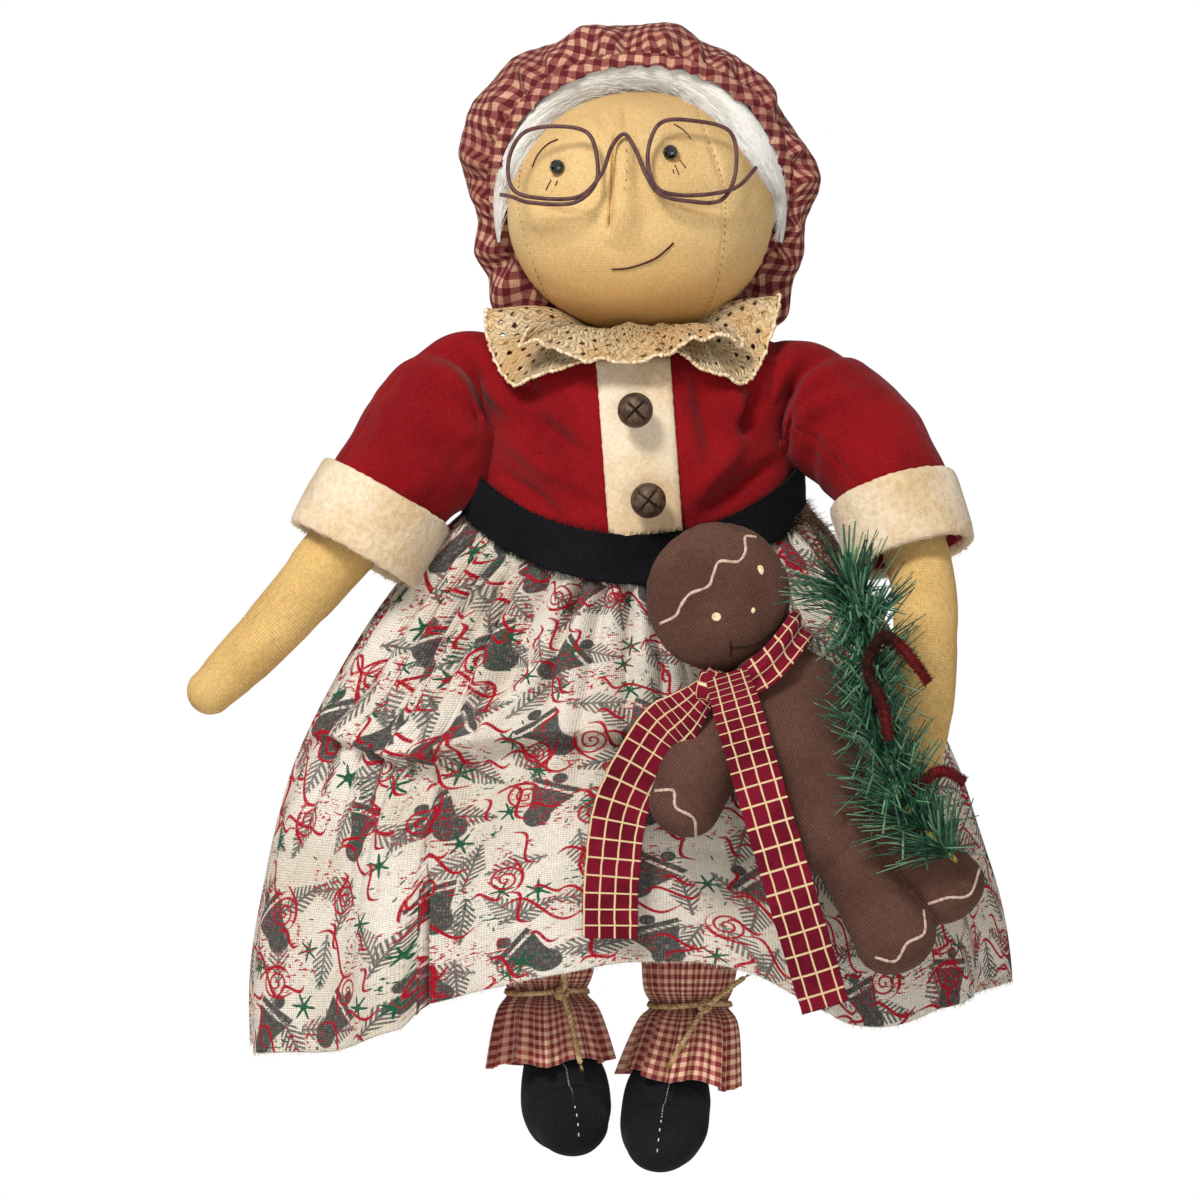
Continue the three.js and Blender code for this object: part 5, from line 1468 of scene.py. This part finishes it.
def toyHeadPoint(u, v):
    turn, up = fullTurn * u, math.pi * (v - 0.5)
    flat = Vector((math.cos(turn) * math.cos(up), 0, math.sin(turn) * math.cos(up)))
    x, y, z = toy["head"]
    hx, hy, hz = toy["headHalf"]
    thick = math.copysign(abs(math.sin(up)) ** 0.85, math.sin(up))
    seam = 0.6 * bump(up, 0, 0.035)
    pucker = 0.3 * wobble(turn * 9, up * 2, 3) * bump(up, 0, 0.3) + 0.5 * wobble(flat.x * 2, up, flat.z * 2)
    return Vector((x + flat.x * (hx - seam + pucker), y + thick * hy, z + flat.z * (hz - seam + pucker)))


toyHeadPiece = piece("gingerbread_cloth_head", cloth(200, 90, toyHeadPoint, (170, 60), closed=True), "twill",
                     "left_arm", ["gingerbread_head"], away=toy["head"])
bpy.context.view_layer.update()
edging = bmesh.new()
for i in range(64):
    spot = toyHeadPoint(i / 64, 0.5)
    edgeSpots.append((spot, (spot - Vector(toy["head"])).normalized()))
for spot, normal in edgeSpots:
    inward = Vector((-normal.x, 0, -normal.z)).normalized()
    root = spot + normal * 0.3 + Vector((0, 0.6, 0))
    spike(edging, root, Vector((0, -1, 0)) + inward * 0.32, 4.6, 0.22, 4, 0.8)
piece("toy_edge_stitches", edging, "toyThread", "left_arm")


def frontOf(made, x, z, lift=0.0):
    # the point of a finished piece that is seen from the front at x and z
    hit, spot, _, _ = made.ray_cast(Vector((x / 1000, -0.4, z / 1000)), Vector((0, 1, 0)))
    return (x, spot.y * 1000 - lift, z) if hit else None


def frontLine(made, row, lift, steps=40):
    line = upright(row)
    spots = [frontOf(made, p.x, p.z, lift) for p in (onLine(line, i / steps) for i in range(steps + 1))]
    return [spot for spot in spots if spot]


icing = bmesh.new()
for i, row in enumerate(toy["icing"]):
    spots = frontLine(toyHeadPiece if i == 0 else toyBodyPiece, row, -0.25, 70)
    if len(spots) > 3:
        tube(icing, spots, 0.72, 8, 110, shape=lambda t: 0.9 + 0.3 * wobble(t * 20, 1, 2))
piece("painted_icing", icing, "icing", "left_arm")
toyDots = bmesh.new()
for x, z, wide, high in toy["dots"]:
    spot = frontOf(toyHeadPiece, x, z, -0.15)
    bmesh.ops.create_uvsphere(toyDots, u_segments=16, v_segments=10, radius=1,
                              matrix=Matrix.Translation(spot) @ Matrix.Diagonal((wide, 0.45, high, 1)))
piece("painted_dots", toyDots, "dots", "left_arm")
toyThread = bmesh.new()
for row in (toy["smile"], toy["tick"]):
    tube(toyThread, frontLine(toyHeadPiece, row, 0.1, 30), 0.36, 6, 60)
piece("toy_smile", toyThread, "darkThread", "left_arm")
print("gingerbread toy stuffed")


# Scarf: a strip of windowpane cotton round the toy's neck, knotted in front
scarf = {
    "middle": (47.8, -109, -112), "way": (0.5, 0, -0.87), "across": (0.87, 0, 0.5),
    "wide": 23.4, "deep": 16.8, "high": 13, "knot": (31, -123.9, -118),
    "long": [(34.5, -127.2, -112.5), (38.5, -129, -126), (46, -128.6, -152), (59, -127.9, -196),
             (72.4, -117.9, -240)],
    "short": [(28, -125, -118), (18, -122.5, -128), (8, -115.5, -138), (-5, -104.6, -163), (-9, -102.4, -190),
              (-9.6, -102.4, -214)],
    # flat size, seed and width at the knot
    "tails": {"long": ((18.6, 131), 3, 0.9), "short": ((21, 114), 8, 0.5)},
}


def bandPoint(u, v):
    angle = fullTurn * u
    way, across = Vector(scarf["way"]).normalized(), Vector(scarf["across"]).normalized()
    lift = (v - 0.5) * scarf["high"]
    roll = 0.9 * math.sin(v * math.pi * 3 + 2 * math.sin(angle)) + 0.5 * wobble(math.cos(angle) * 3, v * 3, 2)
    pinch = 1 - 0.25 * bump(gap(angle, 3.95), 0, 0.5)
    rise = 7.5 * max(0, math.cos(angle)) ** 1.6
    return (Vector(scarf["middle"]) + way * (lift * pinch + 0.8 * math.sin(angle * 2) - rise)
            + across * (scarf["wide"] + roll) * math.cos(angle)
            + Vector((0, (scarf["deep"] + roll) * math.sin(angle), 0)))


piece("scarf_neck_band", cloth(180, 18, bandPoint, (131, 16.4), closed=True), "scarf", "left_arm",
      ["scarf_band"], away=scarf["middle"], thick=0.8)


def tailPoint(line, width, seed, narrow):
    path = vectors(line)

    def pointAt(u, v):
        spot, forward = onLine(path, v), heading(path, v)
        side = forward.cross(Vector((0, 1, 0))).normalized()
        face = side.cross(forward)
        opened = blendTo(narrow, 1, smooth(v, 0.0, 0.3))
        across = (2 * u - 1) * width / 2 * opened
        gathers = (1 - smooth(v, 0, 0.25)) * math.cos((2 * u - 1) * 7) * 1.6 * (1 - narrow)
        wave = 0.45 * wobble(u * 2, v * 6, seed) + 0.9 * (2 * u - 1) ** 2 * math.sin(v * 5 + seed)
        edge = 0.25 * wobble(v * 30, u, seed)
        return spot + side * -(across + edge) + face * (gathers + wave)
    return pointAt


for name, (size, seed, narrow) in scarf["tails"].items():
    pointAt = tailPoint(scarf[name], size[0], seed, narrow)
    made = piece(f"scarf_{name}_strip", cloth(28, 150, pointAt, size), "scarf", "left_arm",
                 [f"scarf_{name}_tail"], away=(50, 0, -150), thick=0.6, offset=0)


def knotPoint(u, v):
    turn, up = fullTurn * u, math.pi * (v - 0.5)
    way = Vector((math.cos(turn) * math.cos(up), math.sin(turn) * math.cos(up), math.sin(up)))
    folds = 1 + 0.05 * math.cos(way.x * 9 + way.z * 3) + 0.08 * wobble(way.x * 2, way.y * 2, way.z * 2)
    tall = math.copysign(abs(way.z) ** 0.7, way.z) * 6.0
    wide = math.copysign(abs(way.x) ** 0.8, way.x) * 4.6
    away = Vector((wide - 3 + tall * 0.35, way.y * 3.4, tall + 1 - wide * 0.3))
    return Vector(scarf["knot"]) + away * folds


piece("scarf_tied_knot", cloth(64, 40, knotPoint, (34, 18), closed=True), "scarf", "left_arm",
      ["scarf_knot"], away=scarf["knot"])
print("scarf tied")


# Garland: four sprigs of cut needles on twisted wire, with a twist of chenille
garland = {
    "stem": [(79, -121, -78), (86.5, -124, -90), (89.5, -126, -108), (90.5, -126.5, -126), (95, -126.5, -147),
             (104, -127, -165), (122, -127.5, -184)],
    "needles": (290, 220, 210, 250), "backward": (0.72, 0.5, 0.6, 0.95),  # for each of the four sprigs
    "nodes": 3, "paleShare": 0.3, "long": 27, "radius": 1.0, "lean": 1.05, "spread": 1.5,
    "loop": [(96, -0.5, -138), (93.4, -0.6, -124), (88, -1.6, -112), (90, -2.6, -103), (95, -3, -98.5),
             (103, -3, -105), (111, -1, -116)],
    "end": [(103.5, 6, -158.5), (110, 4, -152.5), (117, 2.5, -149.5), (125, 3, -154)],
    "chenilleY": -136, "pile": {"loop": 3800, "end": 1500},
}
stem = vectors(garland["stem"])
solidPieces = [toyBodyPiece, toyHeadPiece,
               *[bpy.data.objects[name] for name in ("left_cotton_arm", "left_fleece_cuff")]]


def buried(spot):
    # whether a point is inside the toy or the arm
    for made in solidPieces:
        hit, near, normal, _ = made.closest_point_on_mesh(spot / 1000)
        if hit and (spot / 1000 - near).dot(normal) < 0.0003:
            return True
    return False


for sprig in range(4):
    needles = {"dark": bmesh.new(), "pale": bmesh.new()}
    for i in range(garland["needles"][sprig]):
        share = (sprig + (i % garland["nodes"] + 0.5 + dice.gauss(0, 0.16)) / garland["nodes"]) / 4
        share = min(0.995, max(0, share))
        root, forward = onLine(stem, share), heading(stem, share)
        turn = dice.choice((-1, 1)) * garland["spread"] * (1 - 0.95 * dice.random() ** 1.7)
        out = Matrix.Rotation(turn, 3, forward) @ Vector((0, -1, 0))
        out = (out - forward * out.dot(forward)).normalized()
        lean = garland["lean"] * dice.uniform(0.5, 1.15)
        back = -1 if dice.random() < garland["backward"][sprig] else 1
        way = out * math.sin(lean) + forward * math.cos(lean) * back
        long = garland["long"] * dice.uniform(0.65, 1.1) * (1 - 0.55 * max(0, -way.y))
        if not (buried(root + way * long) or buried(root + way * long * 0.6)):
            bm = needles["pale" if dice.random() < garland["paleShare"] else "dark"]
            fresh = spike(bm, root, way, long, garland["radius"], 4, 0.4)
            thin = Matrix.Scale(0.45, 3, way.cross(Vector((0, 0, 1))).cross(way).normalized())
            bmesh.ops.rotate(bm, verts=fresh, cent=root, matrix=Matrix.Rotation(dice.uniform(0, 3), 3, way))
            bmesh.ops.transform(bm, matrix=thin.to_4x4(), space=Matrix.Translation(-root), verts=fresh)
    name = f"garland_sprig_{sprig + 1}"
    piece(f"pine_needles_{sprig + 1}", needles["dark"], "pine", "left_arm", [name])
    piece(f"pale_needles_{sprig + 1}", needles["pale"], "palePine", "left_arm")
twigs = bmesh.new()
twine(twigs, [*garland["stem"][:1], *garland["stem"]], 1.1, 4)
piece("garland_wire", twigs, "twig", "left_arm")

for name, hairs in garland["pile"].items():
    line = [Vector((x, garland["chenilleY"] + front, z)) for x, front, z in garland[name]]

    def chenilleHair():
        t = dice.random()
        forward = heading(line, t)
        out = Matrix.Rotation(dice.uniform(0, fullTurn), 3, forward) @ forward.orthogonal().normalized()
        return onLine(line, t) + out * 1.2, out + forward * dice.uniform(-0.6, 0.6)

    pileHairs = bmesh.new()
    tube(pileHairs, line, 1.6, 10, 90, lambda t: 1 + 0.2 * wobble(t * 30, 2, 1))
    fur(pileHairs, hairs, chenilleHair, (1.0, 1.9), 0.19)
    piece(f"chenille_{name}_pile", pileHairs, "chenille", "left_arm", [f"chenille_{name}"])
print("garland wired")


# Trim: a frayed edge down the skirt's right side, and the felt loop at the back
waistFringe = {"hairs": 1500, "angle": 80, "spread": 6, "from": 0.03, "to": 0.15}


def fringeHair():
    v = dice.uniform(waistFringe["from"], waistFringe["to"])
    u = 0.5 + (waistFringe["angle"] + dice.gauss(0, waistFringe["spread"])) / 360
    way = Vector((1, -0.5, dice.uniform(-0.6, 0.6)))
    return skirtPoint(u, v), way + Vector((dice.uniform(-1, 1), dice.uniform(-1, 1), 0)) * 0.6


trim = bmesh.new()
fur(trim, waistFringe["hairs"], fringeHair, (1.5, 5.5), 0.14)
piece("waist_fringe", trim, "fringe", "root")

# half of the loop, from its sewn end to its middle
loopHalf = [(-15, -8.2, 0), (-11, -6.9, 0), (-8, -4.6, 0), (-6, -1.2, 0)]
loopLine = vectors([*loopHalf, (0, -0.75, 0), *[(-x, y, z) for x, y, z in reversed(loopHalf)]])


def loopPoint(u, v):
    spot = onLine(loopLine, v)
    return spot + Vector((0, 0, (2 * u - 1) * 4))


piece("felt_hanging_loop", cloth(12, 90, loopPoint, (8, 40)), "redFelt", "root",
      ["hanging_loop"], away=(0, -40, 0), thick=1.4, offset=0)
print("trim and loop sewn")


# Studio: pale paper under the doll, a white background and two soft lamps, in metres
floor = {"below": 0.09, "half": 1.2}
studio = {"world": 0.38, "aim": (0, -0.05, -0.08), "lamps": {
    "keyLight": ((-0.7, -1.55, 1.3), 0.5, 40), "fillLight": ((0.4, -2.0, -0.5), 1.2, 15)}}


def setUpStudio():
    bm = bmesh.new()
    bmesh.ops.create_grid(bm, x_segments=1, y_segments=1, size=floor["half"])
    bmesh.ops.translate(bm, verts=bm.verts, vec=(0, 0, cadBox[0].z - floor["below"]))
    ground = link(bpy.data.objects.new("floor", meshOf("floor", bm)))
    ground.data.materials.append(Finish("palePaper").done(rgb("f4f4f2"), 0.9))
    world = bpy.data.worlds.new("studio")
    bpy.context.scene.world = world
    world.use_nodes = True
    nodes, links = world.node_tree.nodes, world.node_tree.links
    back = nodes["Background"]
    back.inputs["Color"].default_value = (1, 1, 1, 1)
    seen = nodes.new("ShaderNodeLightPath")
    white = None
    for ray in ("Is Camera Ray", "Is Glossy Ray", "Is Transmission Ray"):
        brightest = nodes.new("ShaderNodeMath")
        brightest.operation = "MAXIMUM"
        links.new(seen.outputs[ray], brightest.inputs[0])
        if white:
            links.new(white, brightest.inputs[1])
        else:
            brightest.inputs[1].default_value = studio["world"]
        white = brightest.outputs[0]
    links.new(white, back.inputs["Strength"])
    for name, (place, size, power) in studio["lamps"].items():
        lamp = bpy.data.lights.new(name, "AREA")
        lamp.size, lamp.energy = size, power
        light = link(bpy.data.objects.new(name, lamp))
        light.location = place
        aim = Vector(studio["aim"]) - Vector(place)
        light.rotation_euler = aim.to_track_quat("-Z", "Y").to_euler()


setUpStudio()
bpy.context.scene.view_settings.view_transform = "Standard"
print("scene ready")
